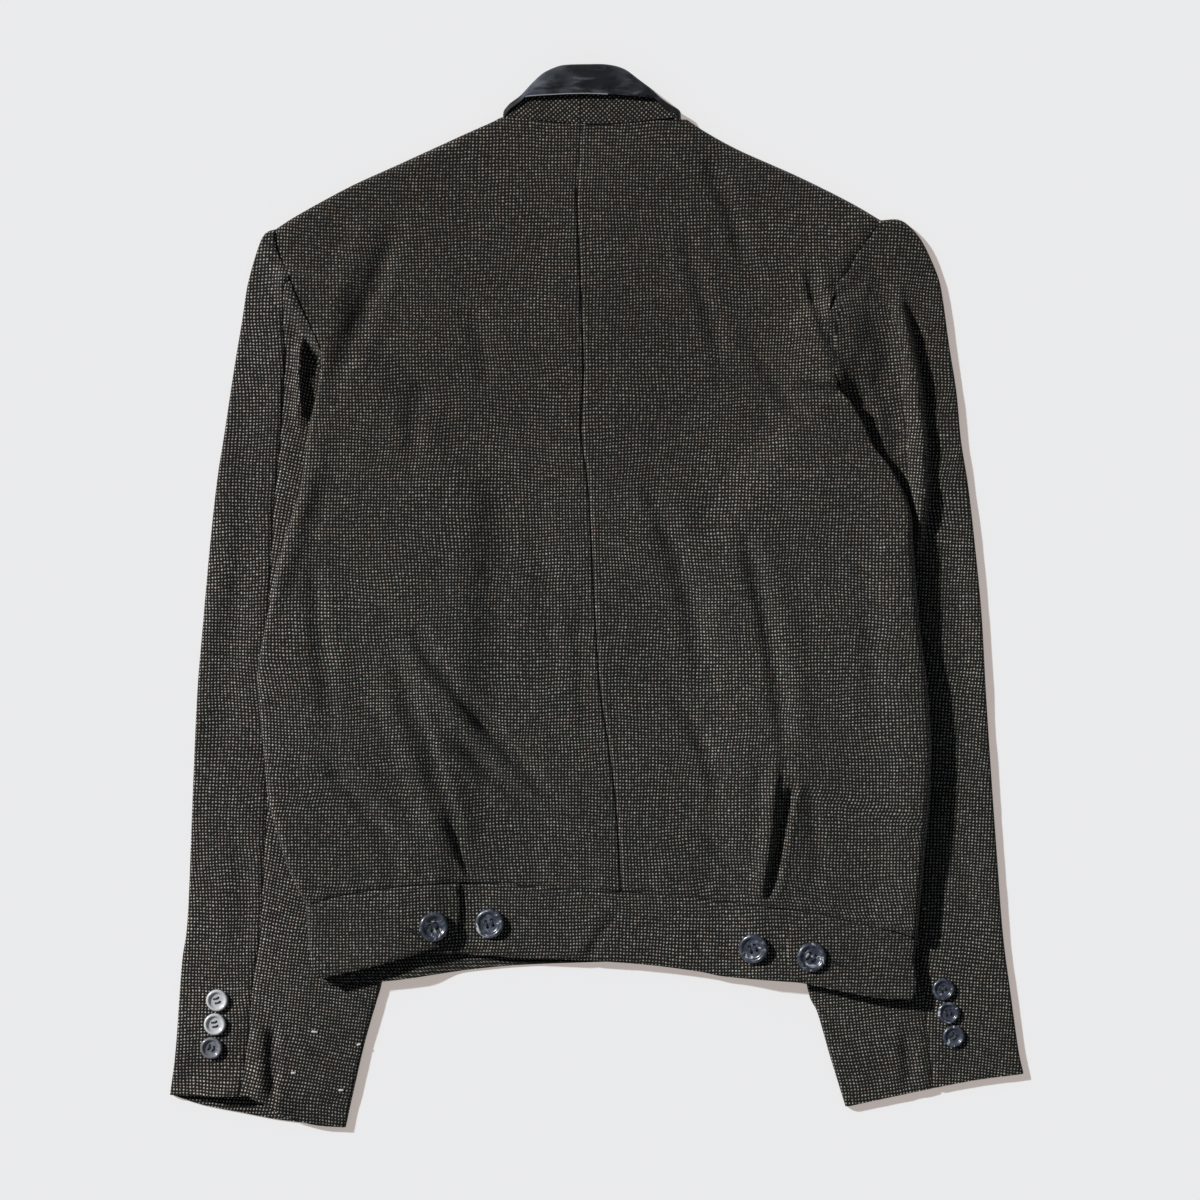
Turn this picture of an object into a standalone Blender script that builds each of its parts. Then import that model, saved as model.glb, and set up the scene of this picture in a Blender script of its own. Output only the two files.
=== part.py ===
"""Spencer jacket laid flat on its front, back panels uppermost, sleeves under its sides.

X runs across (the wearer's left at -X), Y from hem to collar, Z up, z = 0 is the surface.
Tables and sizes are in millimetres, meshes in metres.
"""
import math
from collections import namedtuple

import bmesh
import bpy
import numpy as np

MM = 0.001

# Walls and gaps. A wall is shell cloth, canvas and lining taken together.
SEAM_GAP = 0.3
ARMHOLE_GAP = 0.6
SIDE_SEAM_GAP = 0.4
BODY_WALL = 3.0
SLEEVE_WALL = 2.0
SLEEVE_HEAD_WALL = 3.0
TAB_WALL = 2.0
TAB_SEAT = 1.5
TAB_LIFT = 1.2
# The back band's dips under the tabs end at these x, over a short fade
DIP_LEFT = -80.0
DIP_RIGHT = 118.0
DIP_FADE = 10.0
COLLAR_CLOTH = 1.5
COLLAR_GAP = 0.4
COLLAR_LEATHER = 1.35

# Heights of the layers above the surface
SLEEVE_TOP = 5.8
SLEEVE_HEAD_TOP = 9.4
LEAST_AIR = 1.0
MOST_AIR = 3.8
USUAL_AIR = 2.4
BODY_ROLL = 4.8
SLEEVE_ROLL = 2.9
SLEEVE_AIR = 0.4
MOST_RELIEF = 2.0
UNDERARM_DIP = 1.0
RAMP = 34.0
FAN = 70.0
SLEEVE_COLUMNS = 13
# Rows of a sleeve: distances from the shoulder, and from the hem
HEAD_ROWS = (0, 6, 13, 22, 34, 50)
HEM_ROWS = (42, 18, 0)
RAMP_CLEAR = 20.0
NECK_RISE = 3.55
# The neck ring's middle and half sizes in plan, and where its height fades out, as shares
NECK_RING = (-3.0, 330.0, 78.0, 48.0)
NECK_FADE = (1.45, 0.45)

# Collar: a flattened ring, its outer face this far above and below the middle height
RING_HALF = 3.5
RING_MIDDLE = NECK_RISE + RING_HALF
FRONT_NECK_DROP = 12.0
FRONT_ROLL_DROP = 2.0
COLLAR_BEND = 1.65
COLLAR_PIVOT = 0.15
# The fall is never shorter than this, and its leather edge draws back where it is short
FALL_LEAST = 2.7
FALL_SHORT = (3.0, 5.0)
BACK_SEAM_SHARE = 0.43

# Buttons: diameter and thickness
WAIST_BUTTON = (20.0, 3.6)
CUFF_BUTTON = (15.0, 3.0)

# Outlines in plan, each row a point (x, y), from the outside inwards or from top to bottom
CENTRE_SEAM = [(-10, 320.7), (-13.5, 275.5), (-10.5, 199), (-9, 155.5), (-10.5, 112), (-5.5, 69.5),
               (-1, -15), (2.5, -64.5), (9, -108), (13.5, -147.5), (16.5, -199)]
CENTRE_FRONT = [(-10, 308.5), (-13, 275.5), (-10.5, 199), (-9, 155.5), (-10.5, 112), (-5.5, 69.5),
                (-1, -15), (2.5, -64.5), (9, -108), (13.5, -147.5), (16.5, -203)]

Side = namedtuple("Side", "sign shoulder neck front_neck armhole edge waist front_waist"
                          " sleeve_outer sleeve_inner inner_above hem_upper hem_lower seam_set")
LEFT = Side(
    sign=-1,
    shoulder=[(-217.5, 251), (-202.5, 260.5), (-168.5, 279), (-134.5, 294.5), (-100.5, 310),
              (-73, 322), (-65.5, 326)],
    neck=[(-65.5, 326), (-50.5, 324.5), (-31, 322.3), (-10, 320.7)],
    front_neck=[(-65.5, 326), (-50.5, 317), (-31, 311), (-10, 308.5)],
    armhole=[(-217.5, 251), (-216, 236.5), (-208.5, 219.5), (-200.5, 199.5), (-191, 177.5),
             (-187, 163)],
    edge=[(-187, 163), (-188, 148), (-194, 121), (-198, 94), (-203.5, 66.5), (-214, 32.5),
          (-224, -15), (-230, -49), (-229.5, -69.5), (-226, -103.5), (-222.5, -137.5),
          (-210, -181.5), (-197, -208)],
    waist=[(-197, -208), (-174.5, -201.5), (-139.5, -196), (-113, -194), (-85.5, -193),
           (-54.5, -195), (-7, -199), (16.5, -199)],
    front_waist=[(-197, -208), (-174.5, -206), (-113, -199), (-54.5, -200), (16.5, -203)],
    sleeve_outer=[(-217.5, 251), (-227.5, 245), (-237, 216), (-241.5, 188.5), (-247, 155.5),
                  (-253.5, 112), (-258.5, 80), (-263.5, 34), (-268.5, -22), (-272, -65),
                  (-275, -132), (-278.5, -217), (-282.5, -249), (-286.5, -305), (-290.5, -337.5)],
    sleeve_inner=[(-187, 163), (-172, 138), (-145, 110), (-120, 80), (-112, 45), (-114, -1.5),
                  (-120.5, -69.5), (-127.5, -137.5), (-136.5, -205.5), (-146, -259),
                  (-150, -274), (-158, -302), (-167, -341), (-171, -359.5)],
    # Where the lift over the sleeve ends above the underarm
    inner_above=[(-518, 314), (-218, 214)],
    hem_upper=[(-290.5, -337.5), (-244, -337.5), (-233.5, -339), (-212, -351), (-193, -357.5),
               (-171, -359.5)],
    hem_lower=[(-290.5, -337.5), (-269, -344.5), (-241.5, -350), (-218, -354.5), (-193, -357.5),
               (-171, -359.5)],
    # Distance of the hind-arm seam from the sleeve's outer edge: (y, distance)
    seam_set=[(-337, 46.5), (-269, 49), (-132, 52), (163, 38)])
RIGHT = Side(
    sign=1,
    shoulder=[(192, 256.5), (171.5, 268.5), (137.5, 285.5), (97, 303.5), (75, 315), (60.5, 324.5)],
    neck=[(60.5, 324.5), (43, 323.5), (20.5, 321.2), (-2.5, 320.3), (-10, 320.7)],
    front_neck=[(60.5, 324.5), (43, 315.5), (20.5, 310), (-10, 308.5)],
    armhole=[(192, 256.5), (179, 237.5), (171.5, 222.5), (161.5, 209), (156.5, 194),
             (156.5, 173.5), (160, 152.5), (165, 139.5), (173, 131)],
    edge=[(173, 131), (181, 117), (187.5, 102.5), (200.5, 85), (212, 60), (214, 32.5),
          (218.5, -22), (224, -64.5), (226, -108), (224, -147.5), (220.5, -184.5), (216.5, -231)],
    waist=[(216.5, -231), (203.5, -226), (171.5, -219), (148.5, -213.5), (114.5, -209),
           (79, -205.5), (35.5, -200.5), (16.5, -199)],
    front_waist=[(216.5, -231), (171.5, -220), (79, -207), (16.5, -203)],
    sleeve_outer=[(192, 256.5), (204.5, 257), (213, 251.5), (221.5, 240.5), (231, 219.5),
                  (234.5, 204), (239, 171.5), (244, 139.5), (247, 107.5), (252, 75.5), (256.5, 36),
                  (261, -11), (264, -64.5), (267.5, -119), (271.5, -175.5), (275.5, -228),
                  (281, -270.5), (286, -306.5), (289.5, -323)],
    sleeve_inner=[(173, 131), (160, 106), (138, 82), (120, 50), (118.5, -1.5), (122.5, -69.5),
                  (127.5, -137.5), (134.5, -205.5), (142.5, -264.5), (149.5, -282),
                  (158, -311.5), (168.5, -345.5)],
    inner_above=[(346, 290), (176, 190)],
    hem_upper=[(289.5, -323), (258.5, -327), (227, -333), (196, -339.5), (168.5, -345.5)],
    hem_lower=[(289.5, -323), (258.5, -326.5), (227, -332), (196, -338.5), (168.5, -345.5)],
    seam_set=[(-323, 62), (-300, 60), (-100, 58), (130, 45)])

# Collar: the seam on the neck, the roll line, and the fall's free edge
STAND_SEAM = [(-62.7, 327), (-59.3, 326), (-56, 325.6), (-50.5, 325.1), (-31, 322.9),
              (-10, 321.2), (-2.5, 320.9), (20.5, 321.9), (43, 324.4), (49, 325), (52, 325.4),
              (55.3, 326.3)]
ROLL_LINE = [(-62.7, 330), (-59.5, 333.2), (-52, 338.8), (-44, 347.2), (-36.4, 353.9),
             (-27.5, 358), (-21, 359.3), (-8, 359.7), (6.5, 359.5), (18, 356.5), (28.2, 349.2),
             (37.7, 342), (43.2, 336.9), (50, 332.2), (55.3, 329.5)]
FALL_EDGE = [(-66, 338.2), (-52, 339.7), (-5, 341.7), (43, 338), (58, 335.6)]
FALL_EDGE_SHOWS = 1.4
BAND_STEP = 10.0
BAND_ROWS = 6
# The body's edge counts this far past its last point; FAR is beyond everything
EDGE_END = 12.0
FAR = 1000.0

# Waistband: lower edges, from the left side to the right
TAB_LEFT_EDGE = [(-197, -208.5), (-196, -228), (-193, -249.5), (-187.5, -257)]
TAB_LEFT_LOWER = [(-187.5, -257), (-152.5, -249), (-120, -240.5), (-102, -235.5)]
TAB_LEFT_END = [(-95, -194), (-94, -208), (-92, -217), (-95, -228), (-102, -235.5)]
TAB_RIGHT_EDGE = [(216.5, -231.5), (215, -246), (216, -262), (213, -271.5)]
TAB_RIGHT_LOWER = [(213, -271.5), (185.5, -270.5), (142.5, -262.5), (132, -261)]
TAB_RIGHT_END = [(131, -211.5), (129.5, -222), (128.5, -236), (129.5, -250), (132, -261)]
BAND_TOP = [(-188, -206.2), (-174.5, -201.5), (-139.5, -196), (-113, -194), (-85.5, -193),
            (-54.5, -195), (-7, -199), (35.5, -200.5), (79, -205.5), (114.5, -209),
            (148.5, -213.5), (171.5, -219), (203.5, -226), (209, -228)]
BAND_BOTTOM = [(-180, -245.5), (-140, -242.5), (-96, -241.5), (-76.5, -242.5), (-44, -244.5),
               (-5, -246), (35.5, -249), (69.5, -253.5), (88.5, -257), (142.5, -261),
               (185.5, -267), (208, -268)]
FRONT_BAND_LEFT = [(-187.5, -257), (-182, -262), (-144, -260), (-109, -255.5), (-76.5, -251.5),
                   (-44, -249), (16.5, -247)]
FRONT_BAND_RIGHT = [(213, -271.5), (185.5, -268), (142.5, -260), (88.5, -255), (16.5, -247)]

# Folds of the back: start, middle and end of each run, its depth (a ridge is below zero)
# and its half width
Fold = namedtuple("Fold", "x0 y0 x1 y1 x2 y2 depth width")
BACK_FOLDS = [
    Fold(-128, -66, -111, -123, -84, -206, 2.6, 6),
    Fold(-150, -8, -108, -40, -41, -115, 1.6, 10),
    Fold(-96, -96, -55, -125, -10, -158, 1.2, 9),
    Fold(-191, 26, -186, -30, -177, -95, 1.3, 9),
    Fold(-184, -117, -163, -136, -134, -176, 1.2, 8),
    Fold(-136, 255, -157, 200, -182, 132, 1.6, 10),
    Fold(-89, 196, -78, 168, -75, 146, 0.9, 10),
    Fold(-117, 148, -122, 120, -124, 94, 0.9, 10),
    Fold(68, 307, 88, 268, 104, 218, 1.2, 9),
    Fold(58, 252, 71, 206, 88, 157, 1.2, 9),
    Fold(95, 184, 128, 134, 178, 97, 1.0, 9),
    Fold(136, 143, 155, 137, 174, 133, 0.8, 8),
    Fold(142, 209, 148, 191, 154, 178, 1.2, 7),
    Fold(29, 80, 56, 19, 73, -56, 1.5, 11),
    Fold(94, 53, 116, -24, 126, -120, 2.0, 8),
    Fold(126, -118, 122, -150, 113, -222, 3.4, 6),
    Fold(42, -51, 70, -96, 85, -144, 1.3, 9),
    Fold(70, -158, 92, -180, 114, -192, 1.2, 8),
    Fold(140, -119, 143, -131, 146, -144, 1.0, 8),
    Fold(-182, 114, -204, 45, -225, -16, -1.2, 9),
    Fold(-12, -1, -10, -50, -5, -97, 0.8, 9),
]
SLEEVE_FOLDS = [
    Fold(168, 226, 192, 172, 212, 84, -2.0, 11),
    Fold(182, 205, 176, 180, 172, 150, 1.4, 7),
    Fold(-223, -268, -221, -300, -223, -345, 1.3, 6),
    Fold(209, -294, 211, -310, 212, -335, 1.2, 7),
    Fold(-248, 150, -222, 120, -202, 100, -1.2, 9),
]
MOUTH = Fold(-262, -352, -243, -338, -222, -355, -1.8, 13)

COLOURS = {"cloth": (0.041, 0.040, 0.037), "leather": (0.028, 0.031, 0.038),
           "button": (0.030, 0.037, 0.058)}


def smooth_path(points, samples=16):
    """Dense smooth curve through hand-set points, as an array of rows (x, y)."""
    given = np.array(points, float)
    padded = np.vstack([2 * given[0] - given[1], given, 2 * given[-1] - given[-2]])
    pieces = []
    t = np.linspace(0, 1, samples, endpoint=False)[:, None]
    for i in range(len(given) - 1):
        a, b, c, d = padded[i:i + 4]
        pieces.append(0.5 * (2 * b + (c - a) * t + (2 * a - 5 * b + 4 * c - d) * t ** 2
                             + (3 * b - a - 3 * c + d) * t ** 3))
    pieces.append(given[-1:])
    return np.vstack(pieces)


class Path:
    """A curve read by its length from the start, made of one or more smooth stretches."""

    def __init__(self, *stretches):
        dense = [smooth_path(points) for points in stretches]
        self.points = np.vstack([dense[0]] + [run[1:] for run in dense[1:]])
        steps = np.linalg.norm(np.diff(self.points, axis=0), axis=1)
        self.along = np.concatenate([[0.0], np.cumsum(steps)])
        self.length = self.along[-1]

    def at(self, distance):
        return np.stack([np.interp(distance, self.along, self.points[:, k]) for k in (0, 1)], -1)

    def at_x(self, x):
        order = self.points[:, 0].argsort()
        return np.stack([x, np.interp(x, self.points[order, 0], self.points[order, 1])], -1)

    def normal(self, distance, sign):
        """Unit normal in plan, turned left of the path's direction for sign 1."""
        ahead = self.at(np.minimum(distance + 1.0, self.length))
        behind = self.at(np.maximum(distance - 1.0, 0.0))
        run = ahead - behind
        run = run / np.maximum(np.linalg.norm(run, axis=-1, keepdims=True), 1e-9)
        return sign * np.stack([-run[..., 1], run[..., 0]], -1)


def ease(value):
    """Smooth step from 0 to 1."""
    v = np.clip(value, 0.0, 1.0)
    return v * v * (3 - 2 * v)


def fold_relief(folds, x, y):
    """Height that the folds add: soft troughs with low lips, or ridges where depth < 0."""
    total = np.zeros_like(x)
    t = np.linspace(0, 1, 25)
    for f in folds:
        ax, ay = 2 * f.x0 - 4 * f.x1 + 2 * f.x2, 2 * f.y0 - 4 * f.y1 + 2 * f.y2
        bx, by = -3 * f.x0 + 4 * f.x1 - f.x2, -3 * f.y0 + 4 * f.y1 - f.y2
        run_x, run_y = ax * t * t + bx * t + f.x0, ay * t * t + by * t + f.y0
        reach = np.hypot(x[..., None] - run_x, y[..., None] - run_y)
        nearest = reach.argmin(-1)
        away = reach.min(-1) / f.width
        fade = ease(np.minimum(t, 1 - t) * 4)[nearest]
        fade = 0.25 + 0.75 * fade
        total -= f.depth * fade * (1 - 0.8 * away ** 2) * np.exp(-0.7 * away ** 2)
    return total


def inner_edge_x(side, y):
    """X of the sleeve's hidden inner edge, carried on past the underarm."""
    rows = np.array(side.inner_above + side.sleeve_inner, float)
    return np.interp(y, rows[::-1, 1], rows[::-1, 0])


def neck_share(x, y):
    """How far a point belongs to the neck, from 0 to 1."""
    middle_x, middle_y, half_x, half_y = NECK_RING
    edge, fade = NECK_FADE
    return ease((edge - np.hypot((x - middle_x) / half_x, (y - middle_y) / half_y)) / fade)


def underside(x, y):
    """Lowest face of the body: on the surface, but lifted over the sleeves and at the neck."""
    height = np.zeros_like(x)
    for side in (LEFT, RIGHT):
        inside = side.sign * (x - inner_edge_x(side, y))
        height += (SLEEVE_TOP + SEAM_GAP) * ease((inside + RAMP_CLEAR + RAMP) / RAMP)
    return height + NECK_RISE * neck_share(x, y)


def waist_y(x):
    """Y of the waist seam at x."""
    rows = np.array(LEFT.waist + RIGHT.waist[-2::-1], float)
    return np.interp(x, rows[:, 0], rows[:, 1])


def air(x, y):
    """Space between front and back: the usual air, changed by the folds."""
    pressed = ease((y - waist_y(x) - 3) / 18)
    wanted = USUAL_AIR + fold_relief(BACK_FOLDS, x, y) * pressed
    wanted = wanted + (2 * (RING_HALF - BODY_WALL) - wanted) * neck_share(x, y)
    middle, half = (MOST_AIR + LEAST_AIR) / 2, (MOST_AIR - LEAST_AIR) / 2
    return middle + half * np.tanh((wanted - middle) / half)


def topside(x, y):
    """Uppermost face of the back panels."""
    return underside(x, y) + 2 * BODY_WALL + air(x, y)


def seam_height(x, y):
    """Height of the seam where front and back meet at a rolled edge, free of folds."""
    usual = USUAL_AIR + (2 * (RING_HALF - BODY_WALL) - USUAL_AIR) * neck_share(x, y)
    return underside(x, y) + BODY_WALL + usual / 2


def roll_steps(radius, count=3):
    """Distances from a rolled edge and their angles, from 0 to a quarter turn."""
    angles = np.linspace(0, math.pi / 2, count + 1)
    return radius * (1 - np.cos(angles)), angles


def coons(top, bottom, outer, inner, u, v):
    """Grid between four edges: top and bottom by column, outer and inner by row."""
    u, v = u[None, :, None], v[:, None, None]
    ruled = (1 - u) * outer[:, None] + u * inner[:, None]
    lofted = (1 - v) * top[None] + v * bottom[None]
    corners = ((1 - u) * (1 - v) * top[0] + u * (1 - v) * top[-1]
               + (1 - u) * v * bottom[0] + u * v * bottom[-1])
    return ruled + lofted - corners


def wall_mesh(name, outer, inner, material):
    """Closed wall between two grids of points; outer and inner are rows x columns x 3."""
    rows, cols = outer.shape[:2]
    mesh = bpy.data.meshes.new(name)
    shape = bmesh.new()
    faces_up = [[shape.verts.new(p * MM) for p in row] for row in outer]
    faces_down = [[shape.verts.new(p * MM) for p in row] for row in inner]
    for i in range(rows - 1):
        for j in range(cols - 1):
            a, b = faces_up[i], faces_up[i + 1]
            shape.faces.new((a[j], a[j + 1], b[j + 1], b[j]))
            a, b = faces_down[i], faces_down[i + 1]
            shape.faces.new((a[j], b[j], b[j + 1], a[j + 1]))
    rim = [(i, 0) for i in range(rows)] + [(rows - 1, j) for j in range(1, cols)]
    rim += [(i, cols - 1) for i in range(rows - 2, -1, -1)] + [(0, j) for j in range(cols - 2, 0, -1)]
    for k, (i, j) in enumerate(rim):
        m, n = rim[(k + 1) % len(rim)]
        shape.faces.new((faces_up[i][j], faces_up[m][n], faces_down[m][n], faces_down[i][j]))
    bmesh.ops.triangulate(shape, faces=shape.faces[:])
    bmesh.ops.recalc_face_normals(shape, faces=shape.faces[:])
    if shape.calc_volume(signed=True) < 0:
        bmesh.ops.reverse_faces(shape, faces=shape.faces[:])
    shape.to_mesh(mesh)
    shape.free()
    return add_piece(name, mesh, material)


def add_piece(name, mesh, material):
    mesh.materials.append(material)
    mesh.shade_smooth()
    mesh.set_sharp_from_angle(angle=math.radians(50))
    piece = bpy.data.objects.new(name, mesh)
    JACKET.objects.link(piece)
    return piece


def principled(name, colour, roughness):
    material = bpy.data.materials.new(name)
    material.use_nodes = True
    shader = material.node_tree.nodes["Principled BSDF"]
    shader.inputs["Base Color"].default_value = (*colour, 1.0)
    shader.inputs["Roughness"].default_value = roughness
    shader.inputs["Metallic"].default_value = 0.0
    return material


def arm_stations(length, count):
    """Distances down the armhole, shared by the body's edge and the sleeve's."""
    roll = roll_steps(BODY_ROLL)[0]
    return np.concatenate([roll, np.linspace(roll[-1], length, count - len(roll) + 1)[1:]])


def body_panel(name, side, lower, across, down, down_arm):
    """One half of the back, or of the front if lower, rolled at the side and the shoulder."""
    roll, angles = roll_steps(BODY_ROLL)
    shoulder_length = Path(side.shoulder).length
    top = Path(side.shoulder, side.front_neck if lower else side.neck)
    outer = Path(side.armhole, side.edge)
    arm_length = Path(side.armhole).length
    inner = Path(CENTRE_FRONT if lower else CENTRE_SEAM)
    bottom = Path(side.front_waist if lower else side.waist)
    on_shoulder = np.linspace(roll[-1], shoulder_length, across[0] + 1)[1:]
    on_neck = np.linspace(shoulder_length, top.length, across[1] + 1)[1:]
    columns = np.concatenate([roll, on_shoulder, on_neck])
    on_side = np.linspace(arm_length, outer.length, down + 1)[1:]
    rows = np.concatenate([arm_stations(arm_length, down_arm), on_side])
    u, v = columns / top.length, rows / outer.length
    # Both halves take the same points on the centre line
    left_arm, left_all = Path(LEFT.armhole).length, Path(LEFT.armhole, LEFT.edge).length
    shared = np.interp(rows, [0, arm_length, outer.length], [0, left_arm, left_all]) / left_all
    plan = coons(top.at(columns), bottom.at(u * bottom.length), outer.at(rows),
                 inner.at(shared * inner.length), u, v)
    turn_u = np.concatenate([angles, np.full(len(columns) - len(angles), math.pi / 2)])
    turn_v = np.concatenate([angles, np.full(len(rows) - len(angles), math.pi / 2)])
    open_arm = ease((arm_length - rows) / 25)[:, None]
    open_neck = ease((columns - shoulder_length) / 6)[None, :]
    q_side = np.sin(turn_u)[None, :] * (1 - open_arm) + open_arm
    q_top = np.sin(turn_v)[:, None] * (1 - open_neck) + open_neck
    lean_side = np.cos(turn_u)[None, :] * (1 - open_arm)
    lean_top = np.cos(turn_v)[:, None] * (1 - open_neck)
    full = q_side * q_top
    # The seams at the centre and the waist leave half a gap on each piece
    plan[:, -1, 0] += side.sign * SEAM_GAP / 2
    plan[-1, :, 1] += SEAM_GAP / 2
    x, y = plan[..., 0], plan[..., 1]
    low, high = underside(x, y), topside(x, y)
    middle = seam_height(x, y)
    face = -1.0 if lower else 1.0
    target = low if lower else high
    seam = middle + face * SIDE_SEAM_GAP / 2
    z = seam + (target - seam) * full
    away_side = outer.normal(rows, side.sign)[:, None]
    away_top = top.normal(columns, -side.sign)[None]
    lean = lean_side[..., None] * away_side + lean_top[..., None] * away_top
    skin = np.concatenate([plan, z[..., None]], -1)
    inside = np.concatenate([plan - BODY_WALL * lean, (z - face * BODY_WALL * full)[..., None]], -1)
    return wall_mesh(name, skin, inside, CLOTH)


def sleeve_rings(side, cols_top, cols_under, rows_down):
    """Upper and lower faces of a sleeve with their inner sides, and the seam's column."""
    outer, inner = Path(side.sleeve_outer), Path(side.sleeve_inner)
    armhole = Path(side.armhole)
    roll, angles = roll_steps(SLEEVE_ROLL)
    near, last = np.array(HEAD_ROWS), outer.length - np.array(HEM_ROWS)
    v = np.concatenate([near, np.linspace(near[-1], last[0], rows_down)[1:], last[1:]]) / outer.length
    faces = []
    width = np.linalg.norm(outer.at(v * outer.length) - inner.at(v * inner.length), axis=-1)
    width[0] = armhole.length
    seam_at = np.interp(outer.at(v * outer.length)[:, 1], *np.array(side.seam_set, float).T)
    seam_at[:len(near)] = np.minimum(seam_at[:len(near)], 0.42 * width[:len(near)])
    columns = []
    for i in range(len(v)):
        near_seam = np.linspace(roll[-1], seam_at[i], cols_top + 1)[1:]
        far = np.linspace(seam_at[i], width[i] - roll[-1], cols_under + 1)[1:]
        columns.append(np.concatenate([roll, near_seam, far, width[i] - roll[-2::-1]]) / width[i])
    u_rows = np.array(columns)
    u_rows[0] = arm_stations(armhole.length, len(u_rows[0])) / armhole.length
    seam_column = len(roll) - 1 + cols_top
    turn = np.concatenate([angles, np.full(cols_top + cols_under - 1, math.pi / 2), angles[::-1]])
    for hem_points in (side.hem_upper, side.hem_lower):
        hem = Path(hem_points)
        plan = np.empty(u_rows.shape + (2,))
        for i in range(len(v)):
            u = u_rows[i][:, None]
            start = outer.at(v[i] * outer.length)
            stop = inner.at(v[i] * inner.length)
            bulge = armhole.at(u_rows[i] * armhole.length)
            bulge = bulge - armhole.points[0] * (1 - u) - armhole.points[-1] * u
            drape = hem.at(u_rows[i] * hem.length)
            drape = drape - hem.points[0] * (1 - u) - hem.points[-1] * u
            fan = max(0.0, 1 - v[i] * outer.length / FAN)
            plan[i] = start * (1 - u) + stop * u + bulge * fan + drape * v[i] ** 3
        plan[0] += ARMHOLE_GAP * armhole.normal(u_rows[0] * armhole.length, side.sign)
        faces.append(plan)
    reach = v * outer.length
    head = ease(1 - reach / 26)[:, None] * (1 - ease((u_rows - 0.5) / 0.25))
    thick = SLEEVE_WALL + (SLEEVE_HEAD_WALL - SLEEVE_WALL) * ease(1 - reach / 60)[:, None]
    thick = thick * np.ones_like(u_rows)
    upper = faces[0]
    x, y = upper[..., 0], upper[..., 1]
    relief = fold_relief(SLEEVE_FOLDS + [MOUTH], x, y)
    covered = ease((side.sign * (edge_x(side, y) - x)) / 10 + 0.6)
    tucked = ease((u_rows - 0.45) / 0.2) * ease((110 - reach) / 20)[:, None]
    relief = np.clip(relief, 2 * SLEEVE_WALL + SLEEVE_AIR - SLEEVE_TOP, MOST_RELIEF) * (1 - covered) * (1 - tucked)
    flat_top = SLEEVE_TOP + relief
    top_z = flat_top + (SLEEVE_HEAD_TOP - flat_top) * head - UNDERARM_DIP * tucked
    thick = np.minimum(thick, (top_z - SLEEVE_AIR) / 2)
    q, lean = np.sin(turn)[None, :], np.cos(turn)[None, :, None]
    half = len(turn) // 2
    side_way = np.concatenate([outer.normal(reach, side.sign)[:, None].repeat(half, 1),
                               inner.normal(v * inner.length, -side.sign)[:, None]
                               .repeat(len(turn) - half, 1)], 1)
    grids = []
    for plan, face in ((faces[0], 1.0), (faces[1], -1.0)):
        middle = top_z / 2
        z = middle + face * (top_z / 2) * q
        skin = np.concatenate([plan, z[..., None]], -1)
        inside = np.concatenate([plan - thick[..., None] * lean * side_way,
                                 (z - face * thick * q)[..., None]], -1)
        grids.append((skin, inside))
    return grids, seam_column


def edge_x(side, y):
    """X of the body's side edge at y, or far on the other side where there is no edge."""
    rows = np.array(side.edge + (TAB_LEFT_EDGE if side.sign < 0 else TAB_RIGHT_EDGE), float)
    found = np.interp(-y, -rows[:, 1], rows[:, 0])
    outside = (y > rows[0, 1]) | (y < rows[-1, 1] - EDGE_END)
    return np.where(outside, -side.sign * FAR, found)


def seam_way(line, sign):
    """Half a seam gap in plan, square to a line of points and away from the body."""
    run = np.gradient(line[:, :2], axis=0)
    run = run / np.linalg.norm(run, axis=1, keepdims=True)
    way = np.stack([-run[:, 1], run[:, 0], np.zeros(len(run))], 1)
    return way * sign * SEAM_GAP / 2


def sleeve(side, label, cols_top, cols_under, rows_down):
    """Top sleeve round the outer edge and under sleeve round the inner one."""
    grids, cut = sleeve_rings(side, cols_top, cols_under, rows_down)
    (up, up_in), (low, low_in) = grids
    forearm = up.shape[1] - 7

    def strip(first, second, way):
        both = np.concatenate([first, second], 1)
        both[:, 0] += seam_way(up[:, cut], side.sign) * way
        both[:, -1] += seam_way(low[:, forearm], side.sign) * way
        return both

    skin = strip(up[:, cut:0:-1], low[:, 0:forearm + 1], 1)
    inside = strip(up_in[:, cut:0:-1], low_in[:, 0:forearm + 1], 1)
    wall_mesh(f"{label}_sleeve_top", skin, inside, CLOTH)
    skin = strip(up[:, cut:], low[:, :forearm - 1:-1][:, 1:], -1)
    inside = strip(up_in[:, cut:], low_in[:, :forearm - 1:-1][:, 1:], -1)
    wall_mesh(f"{label}_sleeve_under", skin, inside, CLOTH)


def collar_columns(count_back, count_front):
    """Columns round the collar ring, each (share across, angle, upper side or not)."""
    roll, angles = roll_steps(RING_HALF)
    width = Path(STAND_SEAM).length
    left = roll / width
    middle = np.linspace(left[-1], 1 - left[-1], count_back + 1)[1:-1]
    back = [(s, a, 1) for s, a in zip(left, angles)] + [(s, math.pi / 2, 1) for s in middle]
    back += [(1 - s, a, 1) for s, a in zip(left[::-1], angles[::-1])]
    front_left = [(s, a, -1) for s, a in zip(left[1:], angles[1:])]
    front_left += [(s, math.pi / 2, -1) for s in np.linspace(left[-1], 0.42, count_front + 1)[1:]]
    front_right = [(1 - s, a, face) for s, a, face in front_left]
    front_right[-1] = (0.46, math.pi / 2, -1)
    return front_left[::-1] + back + front_right


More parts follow.
